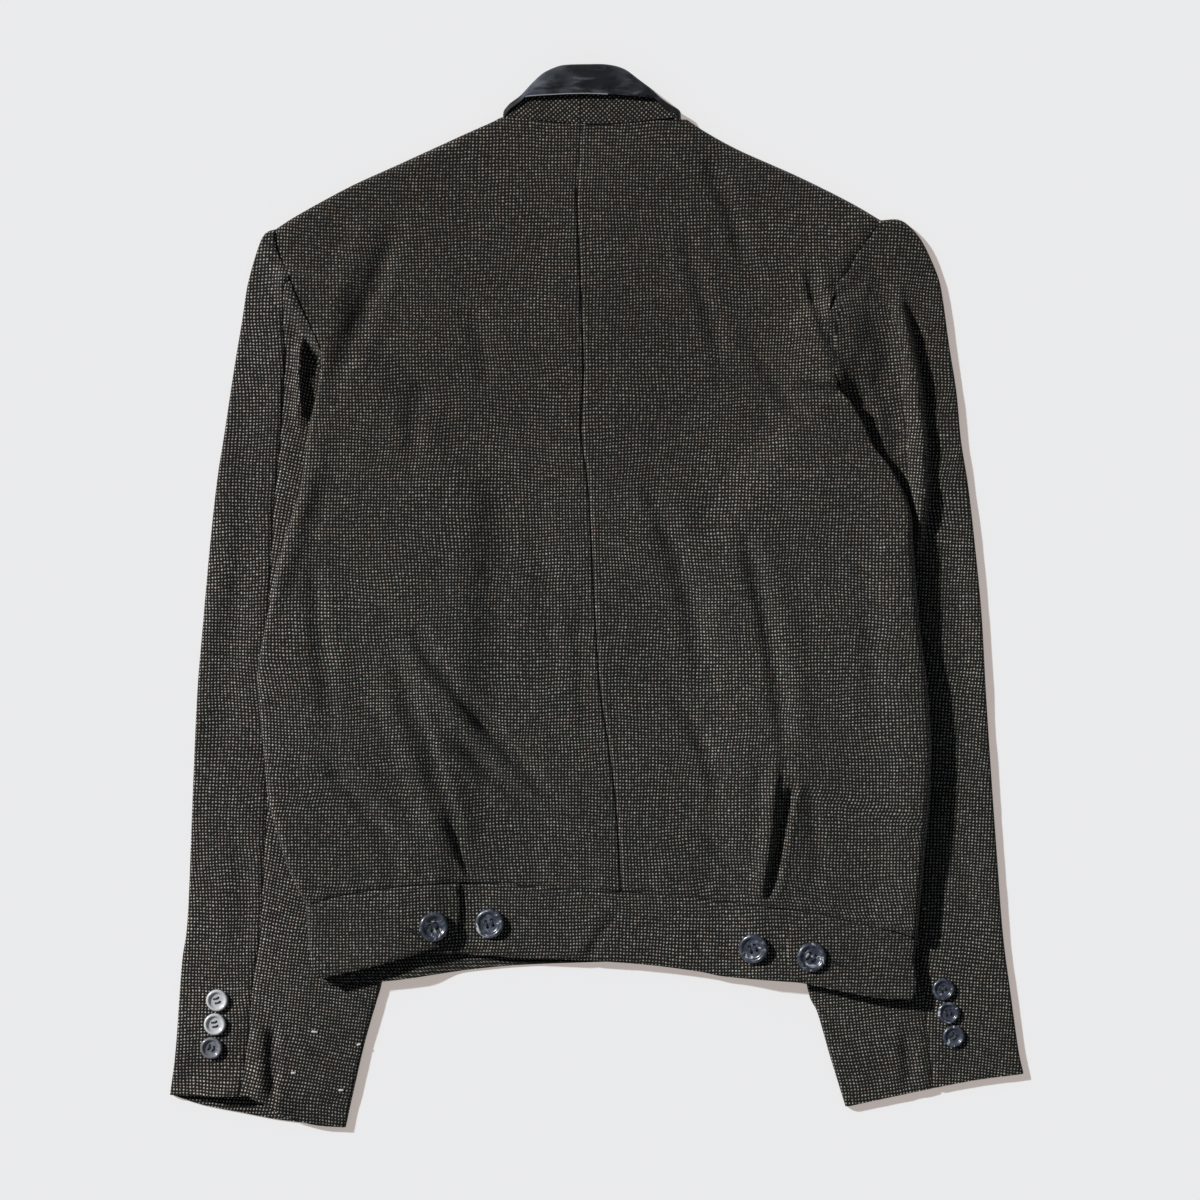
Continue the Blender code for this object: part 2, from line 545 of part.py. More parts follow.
def collar_piece(name, columns, near, far, edge_more, material, first_shift=0.0, last_shift=0.0):
    """Folded strip round the ring, from face offset near to offset far on the stand."""
    seam, roll_line, fall_edge = Path(STAND_SEAM), Path(ROLL_LINE), Path(FALL_EDGE)
    rise = np.array([0.0, 1.0, 0.0])
    shortest, full_length = FALL_SHORT
    rows = {near: [], far: []}
    for number, (share, turn, face) in enumerate(columns):
        way_out = 1 if share > 0.5 else -1
        root = seam.at(share * seam.length)
        crest_y = roll_line.at_x(root[0])[1]
        edge_y = min(fall_edge.at_x(root[0])[1], crest_y - FALL_LEAST)
        if turn == math.pi / 2 and face < 0:
            root[1] -= FRONT_NECK_DROP * (1 - (2 * share - 1) ** 2)
            crest_y -= FRONT_ROLL_DROP
            edge_y -= FRONT_ROLL_DROP
        climb = crest_y - root[1]
        centre = climb - COLLAR_BEND
        drawn_back = edge_more * min(1.0, max(0.25, (climb - shortest) / full_length))
        free = edge_y - root[1] + drawn_back
        way = np.array([way_out * math.cos(turn), 0.0, face * math.sin(turn)])
        base = np.array([*root, RING_MIDDLE + face * RING_HALF * math.sin(turn)])
        base[0] += first_shift * (number == 0) + last_shift * (number == len(columns) - 1)
        for offset, line in rows.items():
            radius = COLLAR_PIVOT - offset
            stand = [base + rise * centre * share_up + way * offset for share_up in (0, 0.5, 1)]
            turned = [base + rise * (centre + radius * math.cos(angle))
                      + way * (COLLAR_PIVOT + radius * math.sin(angle))
                      for angle in (-math.pi / 4, 0.0, math.pi / 4, math.pi / 2)]
            fall = [base + rise * reach + way * (COLLAR_PIVOT + radius)
                    for reach in ((free + centre) / 2, free)]
            line.append(stand + turned + fall)
    return wall_mesh(name, np.array(rows[far]), np.array(rows[near]), material)


def collar():
    """Under collar in two halves, and the leather collar over it."""
    columns = collar_columns(16, 3)
    on_back = [k for k in range(len(columns)) if columns[k][2] > 0]
    cut = min(on_back, key=lambda k: abs(columns[k][0] - BACK_SEAM_SHARE))
    half = SEAM_GAP / 2
    collar_piece("under_collar_left", columns[:cut + 1], 0.0, -COLLAR_CLOTH, 0.0, CLOTH,
                 last_shift=-half)
    collar_piece("under_collar_right", columns[cut:], 0.0, -COLLAR_CLOTH, 0.0, CLOTH,
                 first_shift=half)
    leather_near = -COLLAR_CLOTH - COLLAR_GAP
    collar_piece("top_collar", columns, leather_near, leather_near - COLLAR_LEATHER,
                 FALL_EDGE_SHOWS, LEATHER)


def band_top(x, y):
    """Upper face of the back waistband, dipped where a tab lies over it."""
    left = 1 - ease((x - DIP_LEFT) / DIP_FADE)
    right = 1 - ease((DIP_RIGHT - x) / DIP_FADE)
    return topside(x, y) - TAB_SEAT * (left + right)


def tab_top(x, y):
    """Upper face of the tabs."""
    return topside(x, y) + TAB_LIFT


def waistband_back():
    top, bottom = Path(BAND_TOP), Path(BAND_BOTTOM)
    stations = np.arange(BAND_TOP[0][0], BAND_TOP[-1][0], BAND_STEP)
    u = (stations - stations[0]) / (stations[-1] - stations[0])
    v = np.linspace(0, 1, BAND_ROWS)
    top_row = top.at_x(stations) - np.array([0, SEAM_GAP / 2 + 0.1])
    low_row = bottom.at_x(stations)
    side_l = top_row[0] + (low_row[0] - top_row[0]) * v[:, None]
    side_r = top_row[-1] + (low_row[-1] - top_row[-1]) * v[:, None]
    plan = coons(top_row, low_row, side_l, side_r, u, v)
    x, y = plan[..., 0], plan[..., 1]
    z = band_top(x, y)
    skin = np.concatenate([plan, z[..., None]], -1)
    inside = skin - np.array([0, 0, TAB_WALL])
    return wall_mesh("waistband_back", skin, inside, CLOTH)


def waistband_front(name, side, edge_points, lower_points, end_points, front_points):
    """Band of one front: from the centre front round the side to the tab on the back."""
    edge, lower, end = Path(edge_points), Path(lower_points), Path(end_points)
    waist, front_waist, front = Path(side.waist), Path(side.front_waist), Path(front_points)
    roll, angles = roll_steps(BODY_ROLL)
    v = np.linspace(0, 1, BAND_ROWS)
    tab_width = abs(end_points[0][0] - edge_points[0][0])
    stations = np.arange(BAND_TOP[0][0], BAND_TOP[-1][0], BAND_STEP)
    span = side.sign * (edge_points[0][0] - stations)
    span = np.sort(span[(span > roll[-1] + 4) & (span < tab_width - 4)])
    tab_u = np.concatenate([roll, span, [tab_width]]) / tab_width
    tab_x = edge_points[0][0] - side.sign * tab_u * tab_width
    front_width = front_waist.length
    front_u = np.concatenate([roll, np.linspace(roll[-1], front_width, 11)[1:]]) / front_width
    drop = np.array([0, SEAM_GAP + 0.2])
    seam_row = waist.at_x(tab_x) - drop
    edge_row = edge.at(v * edge.length)
    edge_row[0] = seam_row[0]
    end_row = end.at(v * end.length)
    end_row[0] = seam_row[-1]
    tab_low = lower.at_x(np.clip(tab_x, *sorted((lower.points[0, 0], lower.points[-1, 0]))))
    tab_low[0], tab_low[-1] = lower.points[0], lower.points[-1]
    tab = coons(seam_row, tab_low, edge_row, end_row, tab_u, v)
    front_top = front_waist.at(front_u * front_waist.length) - drop
    centre_x = side.front_waist[-1][0] + side.sign * SEAM_GAP / 2
    centre = np.stack([np.full(BAND_ROWS, centre_x),
                       np.linspace(front_top[-1][1], front_points[-1][1], BAND_ROWS)], -1)
    front_top[0] = edge_row[0]
    front_low = front.at(front_u * front.length)
    front_top[-1] = centre[0]
    front_low[-1] = centre[-1]
    below = coons(front_top, front_low, edge_row, centre, front_u, v)
    away = edge.normal(v * edge.length, side.sign)[:, None]
    skins, insides = [], []
    for plan, u_row, face in ((tab, tab_u, 1.0), (below, front_u, -1.0)):
        turn = np.concatenate([angles, np.full(len(u_row) - len(angles), math.pi / 2)])
        q, lean = np.sin(turn)[None, :], np.cos(turn)[None, :, None]
        x, y = plan[..., 0], plan[..., 1]
        low, high = underside(x, y), tab_top(x, y)
        middle = (low + high) / 2
        target = high if face > 0 else low
        z = middle + (target - middle) * q
        full = TAB_WALL if face > 0 else BODY_WALL
        start = (TAB_WALL + BODY_WALL) / 2
        thick = start + (full - start) * q
        skins.append(np.concatenate([plan, z[..., None]], -1))
        insides.append(np.concatenate([plan - thick[..., None] * lean * away,
                                       (z - face * thick * q)[..., None]], -1))
    skin = np.concatenate([skins[1][:, :0:-1], skins[0]], 1)
    inside = np.concatenate([insides[1][:, :0:-1], insides[0]], 1)
    return wall_mesh(name, skin, inside, CLOTH)


def button(name, size, x, y, seat):
    """Turned button with a raised rim and a dished middle, lying on its seat height."""
    diameter, height = size
    r = diameter / 2
    profile = [(0, height * 0.55), (r * 0.62, height * 0.6), (r * 0.8, height), (r * 0.94, height * 0.9),
               (r, height * 0.45), (r * 0.8, 0), (0, 0)]
    mesh = bpy.data.meshes.new(name + "_profile")
    points = [(px * MM, 0, pz * MM) for px, pz in profile]
    mesh.from_pydata(points, [(i, i + 1) for i in range(len(points) - 1)], [])
    turned = bpy.data.objects.new(name, mesh)
    screw = turned.modifiers.new("turn", "SCREW")
    screw.steps = screw.render_steps = 12
    screw.use_merge_vertices = True
    screw.merge_threshold = 0.00001
    turned.location = (x * MM, y * MM, seat * MM)
    mesh.materials.append(RESIN)
    JACKET.objects.link(turned)
    return turned


def seat_height(surface, x, y, radius):
    """Highest point of a surface under a round piece, plus the gap."""
    angle = np.linspace(0, 2 * math.pi, 24, endpoint=False)
    ring_x = np.concatenate([[x], x + radius * np.cos(angle), x + radius * 0.5 * np.cos(angle)])
    ring_y = np.concatenate([[y], y + radius * np.sin(angle), y + radius * 0.5 * np.sin(angle)])
    return float(surface(ring_x, ring_y).max()) + SEAM_GAP


def buttons():
    places = [(-111, -222, tab_top), (-73, -220.5, band_top), (105.5, -237, band_top),
              (144.5, -242.5, tab_top)]
    for number, (x, y, surface) in enumerate(places, 1):
        seat = seat_height(surface, x, y, WAIST_BUTTON[0] * 0.4)
        button(f"waist_button_{number}", WAIST_BUTTON, x, y, seat)

    def on_cuff(x, y):
        return SLEEVE_TOP + fold_relief(SLEEVE_FOLDS + [MOUTH], x, y).clip(0, MOST_RELIEF)

    cuffs = {"left": [(-258, -273), (-259.5, -289.2), (-262, -305.2)],
             "right": [(234.5, -265.5), (238, -281.4), (241.5, -297.3)]}
    for label, spots in cuffs.items():
        for number, (x, y) in enumerate(spots, 1):
            seat = seat_height(on_cuff, x, y, CUFF_BUTTON[0] * 0.4)
            button(f"{label}_cuff_button_{number}", CUFF_BUTTON, x, y, seat)


for old in list(bpy.data.objects):
    bpy.data.objects.remove(old, do_unlink=True)
JACKET = bpy.data.collections.new("spencer_jacket")
bpy.context.scene.collection.children.link(JACKET)
CLOTH = principled("nailhead_tweed", COLOURS["cloth"], 0.9)
LEATHER = principled("collar_leather", COLOURS["leather"], 0.45)
RESIN = principled("button_resin", COLOURS["button"], 0.3)

body_panel("back_left", LEFT, False, (12, 4), 14, SLEEVE_COLUMNS)
body_panel("back_right", RIGHT, False, (12, 4), 14, SLEEVE_COLUMNS)
body_panel("front_left", LEFT, True, (8, 3), 14, SLEEVE_COLUMNS)
body_panel("front_right", RIGHT, True, (8, 3), 14, SLEEVE_COLUMNS)
sleeve(LEFT, "left", 2, 4, 9)
sleeve(RIGHT, "right", 2, 4, 9)
collar()
waistband_back()
waistband_front("waistband_left", LEFT, TAB_LEFT_EDGE, TAB_LEFT_LOWER, TAB_LEFT_END,
                FRONT_BAND_LEFT)
waistband_front("waistband_right", RIGHT, TAB_RIGHT_EDGE, TAB_RIGHT_LOWER, TAB_RIGHT_END,
                FRONT_BAND_RIGHT)
buttons()
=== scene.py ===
"""Looks of a spencer jacket laid flat on its front: cloth, leather, buttons, sewing, light.

Tables are in millimetres and repeat the solids' own; meshes are in metres.
"""
import math
from collections import namedtuple

import bmesh
import bpy
import numpy as np
from mathutils import Matrix, Vector


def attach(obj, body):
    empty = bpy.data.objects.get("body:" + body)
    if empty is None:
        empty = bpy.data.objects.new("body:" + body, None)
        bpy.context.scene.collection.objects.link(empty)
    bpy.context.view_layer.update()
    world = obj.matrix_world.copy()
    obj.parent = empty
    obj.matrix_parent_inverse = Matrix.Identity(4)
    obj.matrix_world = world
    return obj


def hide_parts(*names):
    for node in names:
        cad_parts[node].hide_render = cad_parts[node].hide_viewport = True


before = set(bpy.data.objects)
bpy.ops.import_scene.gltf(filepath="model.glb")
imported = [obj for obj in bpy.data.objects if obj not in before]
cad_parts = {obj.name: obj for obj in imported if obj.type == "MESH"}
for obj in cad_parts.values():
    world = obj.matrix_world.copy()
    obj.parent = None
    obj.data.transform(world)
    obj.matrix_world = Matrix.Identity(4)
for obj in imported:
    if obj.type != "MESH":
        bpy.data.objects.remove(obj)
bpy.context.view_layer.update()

MM = 0.001

# Gaps and walls; seams that lie open to the eye are drawn shut, so that no light comes through
SEAM_GAP = 0.3
SHUT_SEAM = 0.04
SIDE_SEAM_GAP = 0.4
BODY_WALL = 3.0
# How far the sleeve head is tucked under the body's edge
ARMHOLE_TUCK = 0.6
# How deep the back band lies under a tab, how far the tab stands proud of it, and where the
# band begins to dip on each side and over what run
TAB_SEAT = 1.5
TAB_LIFT = 1.2
DIP_LEFT = -80.0
DIP_RIGHT = 118.0
DIP_FADE = 10.0
COLLAR_CLOTH = 1.5
COLLAR_GAP = 0.4
COLLAR_LEATHER = 1.35
# What shows as the cloth's own thickness
CLOTH_THICK = 1.4
FOLDED_EDGE = 1.9

# Heights of the layers above the surface
SLEEVE_TOP = 5.8
SLEEVE_HEAD_TOP = 9.4
LEAST_AIR = 0.9
SOFT_AIR = 0.9
MOST_AIR = 14.0
USUAL_AIR = 2.4
SLEEVE_AIR = 0.4
NECK_RISE = 3.55

# Rolled edges, the body's ramp over a sleeve, and how far an armhole's curve spreads
BODY_ROLL = 4.8
SLEEVE_ROLL = 2.9
RAMP = 34.0
RAMP_CLEAR = 20.0
FAN = 70.0
HEAD_RUN = 26.0
NECK_RING = (-3.0, 330.0, 78.0, 48.0)
NECK_FADE = (1.45, 0.45)

# The back swells above the band by this height over this run
DOME_HEIGHT = 1.5
DOME_RUN = 50.0
PUCKER_DEPTH = 0.14
GATHER_DEPTH = 0.35

# Right side, which stands up along its edge: height, crest's distance from the edge, upper end
# and its run, and half widths inside and outside the crest
STAND_HEIGHT = 7.5
STAND_INSET = 6.0
STAND_TOP = 104.0
STAND_RUN = 70.0
STAND_SLOW = 24.0
STAND_STEEP = 8.0

# Soft uneven lie of each part: rows of depth, wave length and seed
BACK_LIE = [(0.55, 62, 1), (0.20, 23, 2)]
SLEEVE_LIE = [(0.35, 55, 3), (0.14, 20, 4)]
BAND_LIE = [(0.22, 30, 8)]
# Wander of the weave along and across, and how much of a fold's slope the flat cloth takes up
ACROSS_WANDER = [(2.4, 130, 5), (0.5, 40, 7)]
DOWN_WANDER = [(2.2, 115, 6), (0.5, 37, 8)]
TAKEN_UP = (0.45, 0.15)

# Narrow sunk lines: depth (a raised lip is below zero), distance from the seam, half width
Groove = namedtuple("Groove", "depth place width")
CENTRE_GROOVE = Groove(1.5, 0.0, 1.1)
CENTRE_LIP = Groove(-0.35, 2.6, 1.4)
STITCH_DIP = Groove(0.30, -4.2, 0.9)
WAIST_GROOVE = Groove(1.1, 0.0, 1.8)
BAND_WAIST_GROOVE = Groove(0.9, 0.0, 1.8)
BAND_EDGE = Groove(0.9, 0.0, 1.1)
TAB_ROUNDING = Groove(0.95, 0.0, 1.1)
HIND_GROOVE = Groove(1.2, 0.0, 1.3)
FALL_STITCH = Groove(0.45, 3.6, 0.8)

# How each sleeve leaves the armhole: run over which it falls from the body's height, share
# across where it stops being held, armhole groove, and dip at the underarm
SleeveHead = namedtuple("SleeveHead", "fall_off held_to groove dip")
LEFT_HEAD = SleeveHead(26.0, 0.86, Groove(2.0, 1.0, 1.0), 1.0)
RIGHT_HEAD = SleeveHead(62.0, 0.76, Groove(0.5, 1.0, 1.0), 3.0)
SEWN_BELOW = 0.1
HEAD_STEPS = [0, 0.8, 1.6, 2.4, 3.3, 4.4]
# Last rows and columns of a back panel, as distances from its seam
SEAM_STEPS = [7.0, 5.5, 4.2, 3.2, 2.3, 1.5, 0.8, 0.0]

# Collar
RING_HALF = 3.5
RING_MIDDLE = NECK_RISE + RING_HALF
NECK_AIR = 2 * (RING_HALF - BODY_WALL)
FRONT_NECK_DROP = 12.0
FRONT_ROLL_DROP = 2.0
COLLAR_BEND = 1.65
COLLAR_PIVOT = 0.15
FALL_LEAST = 2.7
FALL_SHORT = (3.0, 5.0)
BACK_SEAM_SHARE = 0.43
FALL_EDGE_SHOWS = -0.4
# How much lower the fall's edge runs at the left and right sides of the neck
FALL_END_DROP = (2.6, 5.5)
# Where the stand is low the fall is pressed flat: its least share of the full thickness, the
# height where it starts to open, and over what rise
PRESSED_SHARE = 0.36
PRESSED_FROM = 5.0
PRESSED_RUN = 22.0
# Stretch in x along the fall's edge where a pale strand is laid as a painted highlight
PAINTED_HIGHLIGHT_SPAN = (-49.0, 8.0)

# Buttons: diameter and thickness
WAIST_BUTTON = (20.0, 3.6)
CUFF_BUTTON = (15.0, 3.0)

# Outlines in plan, each row a point (x, y), from the outside inwards or from top to bottom
CENTRE_SEAM = [(-10, 320.7), (-13.5, 275.5), (-10.5, 199), (-9, 155.5), (-10.5, 112), (-5.5, 69.5),
               (-1, -15), (2.5, -64.5), (9, -108), (13.5, -147.5), (16.5, -199)]
CENTRE_FRONT = [(-10, 308.5), (-13, 275.5), (-10.5, 199), (-9, 155.5), (-10.5, 112), (-5.5, 69.5),
                (-1, -15), (2.5, -64.5), (9, -108), (13.5, -147.5), (16.5, -203)]

Side = namedtuple("Side", "sign shoulder neck front_neck armhole edge waist front_waist"
                          " sleeve_outer sleeve_inner inner_above hem_upper hem_lower seam_set")
LEFT = Side(
    sign=-1,
    shoulder=[(-217.5, 251), (-202.5, 260.5), (-168.5, 279), (-134.5, 294.5), (-100.5, 310),
              (-73, 322), (-65.5, 326)],
    neck=[(-65.5, 326), (-50.5, 324.5), (-31, 322.3), (-10, 320.7)],
    front_neck=[(-65.5, 326), (-50.5, 317), (-31, 311), (-10, 308.5)],
    armhole=[(-217.5, 251), (-216, 236.5), (-208.5, 219.5), (-200.5, 199.5), (-191, 177.5),
             (-187, 163)],
    edge=[(-187, 163), (-188, 148), (-194, 121), (-198, 94), (-203.5, 66.5), (-214, 32.5),
          (-224, -15), (-230, -49), (-229.5, -69.5), (-226, -103.5), (-222.5, -137.5),
          (-210, -181.5), (-197, -208)],
    waist=[(-197, -208), (-174.5, -201.5), (-139.5, -196), (-113, -194), (-85.5, -193),
           (-54.5, -195), (-7, -199), (16.5, -199)],
    front_waist=[(-197, -208), (-174.5, -206), (-113, -199), (-54.5, -200), (16.5, -203)],
    sleeve_outer=[(-217.5, 251), (-227.5, 245), (-237, 216), (-241.5, 188.5), (-247, 155.5),
                  (-253.5, 112), (-258.5, 80), (-263.5, 34), (-268.5, -22), (-272, -65),
                  (-275, -132), (-278.5, -217), (-282.5, -249), (-286.5, -305), (-290.5, -337.5)],
    sleeve_inner=[(-187, 163), (-172, 138), (-145, 110), (-120, 80), (-112, 45), (-114, -1.5),
                  (-120.5, -69.5), (-127.5, -137.5), (-136.5, -205.5), (-146, -259),
                  (-150, -274), (-158, -302), (-167, -341), (-171, -359.5)],
    inner_above=[(-518, 314), (-218, 214)],
    hem_upper=[(-290.5, -337.5), (-244, -337.5), (-233.5, -339), (-212, -351), (-193, -357.5),
               (-171, -359.5)],
    hem_lower=[(-290.5, -337.5), (-269, -344.5), (-241.5, -350), (-218, -354.5), (-193, -357.5),
               (-171, -359.5)],
    seam_set=[(-337, 46.5), (-269, 49), (-132, 52), (163, 38)])
RIGHT = Side(
    sign=1,
    shoulder=[(192, 256.5), (171.5, 268.5), (137.5, 285.5), (97, 303.5), (75, 315), (60.5, 324.5)],
    neck=[(60.5, 324.5), (43, 323.5), (20.5, 321.2), (-2.5, 320.3), (-10, 320.7)],
    front_neck=[(60.5, 324.5), (43, 315.5), (20.5, 310), (-10, 308.5)],
    armhole=[(192, 256.5), (179, 237.5), (171.5, 222.5), (161.5, 209), (156.5, 194),
             (156.5, 173.5), (160, 152.5), (165, 139.5), (173, 131)],
    edge=[(173, 131), (181, 117), (187.5, 102.5), (200.5, 85), (212, 60), (214, 32.5),
          (218.5, -22), (224, -64.5), (226, -108), (224, -147.5), (220.5, -184.5), (216.5, -231)],
    waist=[(216.5, -231), (203.5, -226), (171.5, -219), (148.5, -213.5), (114.5, -209),
           (79, -205.5), (35.5, -200.5), (16.5, -199)],
    front_waist=[(216.5, -231), (171.5, -220), (79, -207), (16.5, -203)],
    sleeve_outer=[(192, 256.5), (204.5, 257), (213, 251.5), (221.5, 240.5), (231, 219.5),
                  (234.5, 204), (239, 171.5), (244, 139.5), (247, 107.5), (252, 75.5), (256.5, 36),
                  (261, -11), (264, -64.5), (267.5, -119), (271.5, -175.5), (275.5, -228),
                  (281, -270.5), (286, -306.5), (289.5, -323)],
    sleeve_inner=[(173, 131), (160, 106), (138, 82), (120, 50), (118.5, -1.5), (122.5, -69.5),
                  (127.5, -137.5), (134.5, -205.5), (142.5, -264.5), (149.5, -282),
                  (158, -311.5), (168.5, -345.5)],
    inner_above=[(346, 290), (176, 190)],
    hem_upper=[(289.5, -323), (258.5, -327), (227, -333), (196, -339.5), (168.5, -345.5)],
    hem_lower=[(289.5, -323), (258.5, -326.5), (227, -332), (196, -338.5), (168.5, -345.5)],
    seam_set=[(-323, 62), (-300, 60), (-100, 58), (130, 45)])

STAND_SEAM = [(-62.7, 327), (-59.3, 326), (-56, 325.6), (-50.5, 325.1), (-31, 322.9),
              (-10, 321.2), (-2.5, 320.9), (20.5, 321.9), (43, 324.4), (49, 325), (52, 325.4),
              (55.3, 326.3)]
ROLL_LINE = [(-62.7, 330), (-59.5, 333.2), (-52, 338.8), (-44, 347.2), (-36.4, 353.9),
             (-27.5, 358), (-21, 359.3), (-8, 359.7), (6.5, 359.5), (18, 356.5), (28.2, 349.2),
             (37.7, 342), (43.2, 336.9), (50, 332.2), (55.3, 329.5)]
FALL_EDGE = [(-66, 338.2), (-52, 339.7), (-5, 341.7), (43, 338), (58, 335.6)]

TAB_LEFT_EDGE = [(-197, -208.5), (-196, -228), (-193, -249.5), (-187.5, -257)]
TAB_LEFT_LOWER = [(-187.5, -257), (-152.5, -249), (-122, -241), (-107, -236.5)]
TAB_LEFT_END = [(-94, -194), (-92.5, -208), (-93.5, -219), (-98, -229), (-107, -236.5)]
TAB_RIGHT_EDGE = [(216.5, -231.5), (215, -246), (216, -262), (213, -271.5)]
TAB_RIGHT_LOWER = [(213, -271.5), (185.5, -269.5), (142.5, -261.2), (133, -259.6)]
TAB_RIGHT_END = [(131, -211.5), (129.5, -222), (128.5, -236), (129.5, -250), (133, -259.6)]
BAND_TOP = [(-188, -206.2), (-174.5, -201.5), (-139.5, -196), (-113, -194), (-85.5, -193),
            (-54.5, -195), (-7, -199), (35.5, -200.5), (79, -205.5), (114.5, -209),
            (148.5, -213.5), (171.5, -219), (203.5, -226), (209, -228)]
BAND_BOTTOM = [(-180, -245.5), (-140, -242.5), (-96, -241.5), (-76.5, -242.5), (-44, -244.5),
               (-5, -246), (35.5, -249), (69.5, -253.5), (88.5, -257), (142.5, -261),
               (185.5, -267), (208, -268)]
FRONT_BAND_LEFT = [(-187.5, -257), (-182, -262), (-144, -260), (-109, -255.5), (-76.5, -251.5),
                   (-44, -249), (16.5, -247)]
FRONT_BAND_RIGHT = [(213, -271.5), (185.5, -268), (142.5, -260), (88.5, -255), (16.5, -247)]

# Folds: start, middle and end of each run, its depth (a ridge is below zero), its half width,
# and how much wider it is on the left of its direction
Fold = namedtuple("Fold", "x0 y0 x1 y1 x2 y2 depth width skew", defaults=(1.0,))
BACK_FOLDS = [
    Fold(-138, -40, -112, -106, -85, -192, 2.6, 7.5, 0.7),
    Fold(-150, -50, -126, -112, -98, -190, -2.0, 8.5, 0.8),
    Fold(-100, -150, -93, -174, -84, -197, 3.0, 2.2),
    Fold(-126, -16, -92, -66, -22, -143, 5.0, 5.0, 1.3),
    Fold(-136, -26, -101, -73, -36, -142, -3.6, 6.5),
    Fold(-98, -96, -64, -126, -18, -160, 3.0, 5.0),
    Fold(-104, -102, -72, -132, -30, -164, -1.4, 6.0),
    Fold(-150, -8, -128, -24, -104, -46, 2.0, 6.0),
    Fold(-192, 30, -187, -30, -178, -98, 2.4, 7.0),
    Fold(-184, -114, -163, -136, -134, -178, 2.8, 6.0),
    Fold(-170, -100, -150, -128, -120, -172, -1.2, 7.0),
    Fold(-134, 258, -155, 200, -182, 134, 3.0, 8.0),
    Fold(-150, 268, -172, 214, -186, 160, -1.4, 8.0),
    Fold(-90, 200, -78, 170, -75, 142, 1.7, 8.0),
    Fold(-117, 150, -123, 120, -124, 90, 1.8, 8.0),
    Fold(-60, 96, -72, 20, -70, -40, 1.0, 12.0),
    Fold(68, 308, 88, 268, 104, 216, 3.4, 7.0),
    Fold(56, 254, 71, 206, 88, 155, 2.4, 7.0),
    Fold(142, 224, 149, 196, 162, 162, 3.4, 3.6, 1.4),
    Fold(151, 228, 158, 200, 171, 170, -1.6, 4.5),
    Fold(62, -186, 90, -198, 117, -209, 2.6, 3.0),
    Fold(206, 262, 180, 227, 158, 190, 3.4, 9.0),
    Fold(130, 143, 150, 140, 174, 137, 3.4, 4.5),
    Fold(150, 152, 162, 141, 180, 122, -2.4, 6.0),
    Fold(134, 128, 153, 108, 176, 94, 3.0, 3.6),
    Fold(96, 184, 124, 140, 150, 104, 2.4, 6.0, 1.5),
    Fold(120, 120, 150, 84, 186, 66, -1.4, 8.0),
    Fold(28, 84, 56, 19, 73, -58, 3.4, 8.0),
    Fold(44, 92, 74, 24, 90, -52, -1.2, 9.0),
    Fold(94, 56, 116, -24, 128, -118, 3.6, 6.5),
    Fold(108, 54, 132, -22, 141, -110, -1.5, 8.0),
    Fold(132, -124, 125, -160, 115, -212, 7.5, 3.2),
    Fold(121, -104, 116, -158, 107, -212, -4.4, 6.5, 0.6),
    Fold(138, -118, 132, -158, 124, -212, -1.4, 6.0, 1.8),
    Fold(42, -50, 70, -96, 86, -148, 2.6, 6.5),
    Fold(70, -158, 92, -180, 114, -194, 2.4, 5.0),
    Fold(142, -118, 146, -150, 152, -196, 1.4, 6.0),
    Fold(-182, 114, -204, 45, -222, -16, -2.4, 8.0),
    Fold(-12, -1, -10, -50, -5, -97, 1.4, 7.0),
    Fold(-40, 60, -34, 0, -30, -60, 0.9, 9.0),
    Fold(176, 40, 186, -30, 188, -110, 1.6, 9.0),
]
SLEEVE_FOLDS = [
    Fold(198, 225, 219, 110, 213, 22, -10.5, 9, 0.5),
    Fold(199, 243, 196, 216, 200, 184, 3.0, 6),
    Fold(192, 232, 189, 210, 186, 180, 3.6, 5.5),
    Fold(184, 180, 178, 166, 178, 148, 1.6, 6),
    Fold(168, 146, 177, 131, 188, 116, 5.5, 10),
    Fold(211, 250, 192, 225, 173, 194, -2.8, 6.0),
    Fold(188, 160, 196, 130, 206, 96, 1.8, 5),
    Fold(-199, 182, -202, 150, -201, 112, -5.6, 4.5, 0.6),
    Fold(-189, 172, -189, 150, -193, 120, 3.2, 5.0),
    Fold(-220, -288, -220, -316, -221, -347, 3.4, 4.5, 0.8),
    Fold(-231, -284, -230, -314, -231, -347, -2.0, 6),
    Fold(209, -290, 211, -310, 212, -338, 2.2, 5),
    Fold(-240, 30, -250, -40, -256, -120, 1.6, 11),
    Fold(-262, 150, -252, 60, -262, -40, -1.2, 10),
    Fold(236, 60, 246, -30, 252, -140, 1.6, 10),
    Fold(-250, -150, -240, -200, -246, -250, 1.2, 9),
    Fold(240, -150, 252, -200, 250, -240, 1.2, 9),
]
BAND_FOLDS = [
    Fold(16, -211, 4, -228, -9, -247, 2.4, 3.0, 0.7),
    Fold(4, -209, -6, -228, -18, -246, -0.8, 4.5),
    Fold(-8, -206, -4, -197, 3, -195, 1.6, 2.2),
    Fold(64, -222, 70, -232, 72, -243, 1.2, 4),
    Fold(-150, -205, -140, -215, -128, -222, 0.8, 4),
    Fold(182, -235, 198, -236, 214, -236, 0.5, 4),
]
MOUTH = Fold(-276, -352, -240, -338, -200, -356, -7.0, 15)
MOST_RELIEF = 10.0

# Free lower edge of each tab: lift, how far up it reaches, where it starts and over what run
TAB_LIFTS = [(-1, 4.0, 24, -112, 45), (1, 2.0, 20, 150, 35)]
BAND_DEPTH = 46.0
TAB_DEPTH = 44.0

# Weave: distance between the dots
DOT_PITCH = 2.2

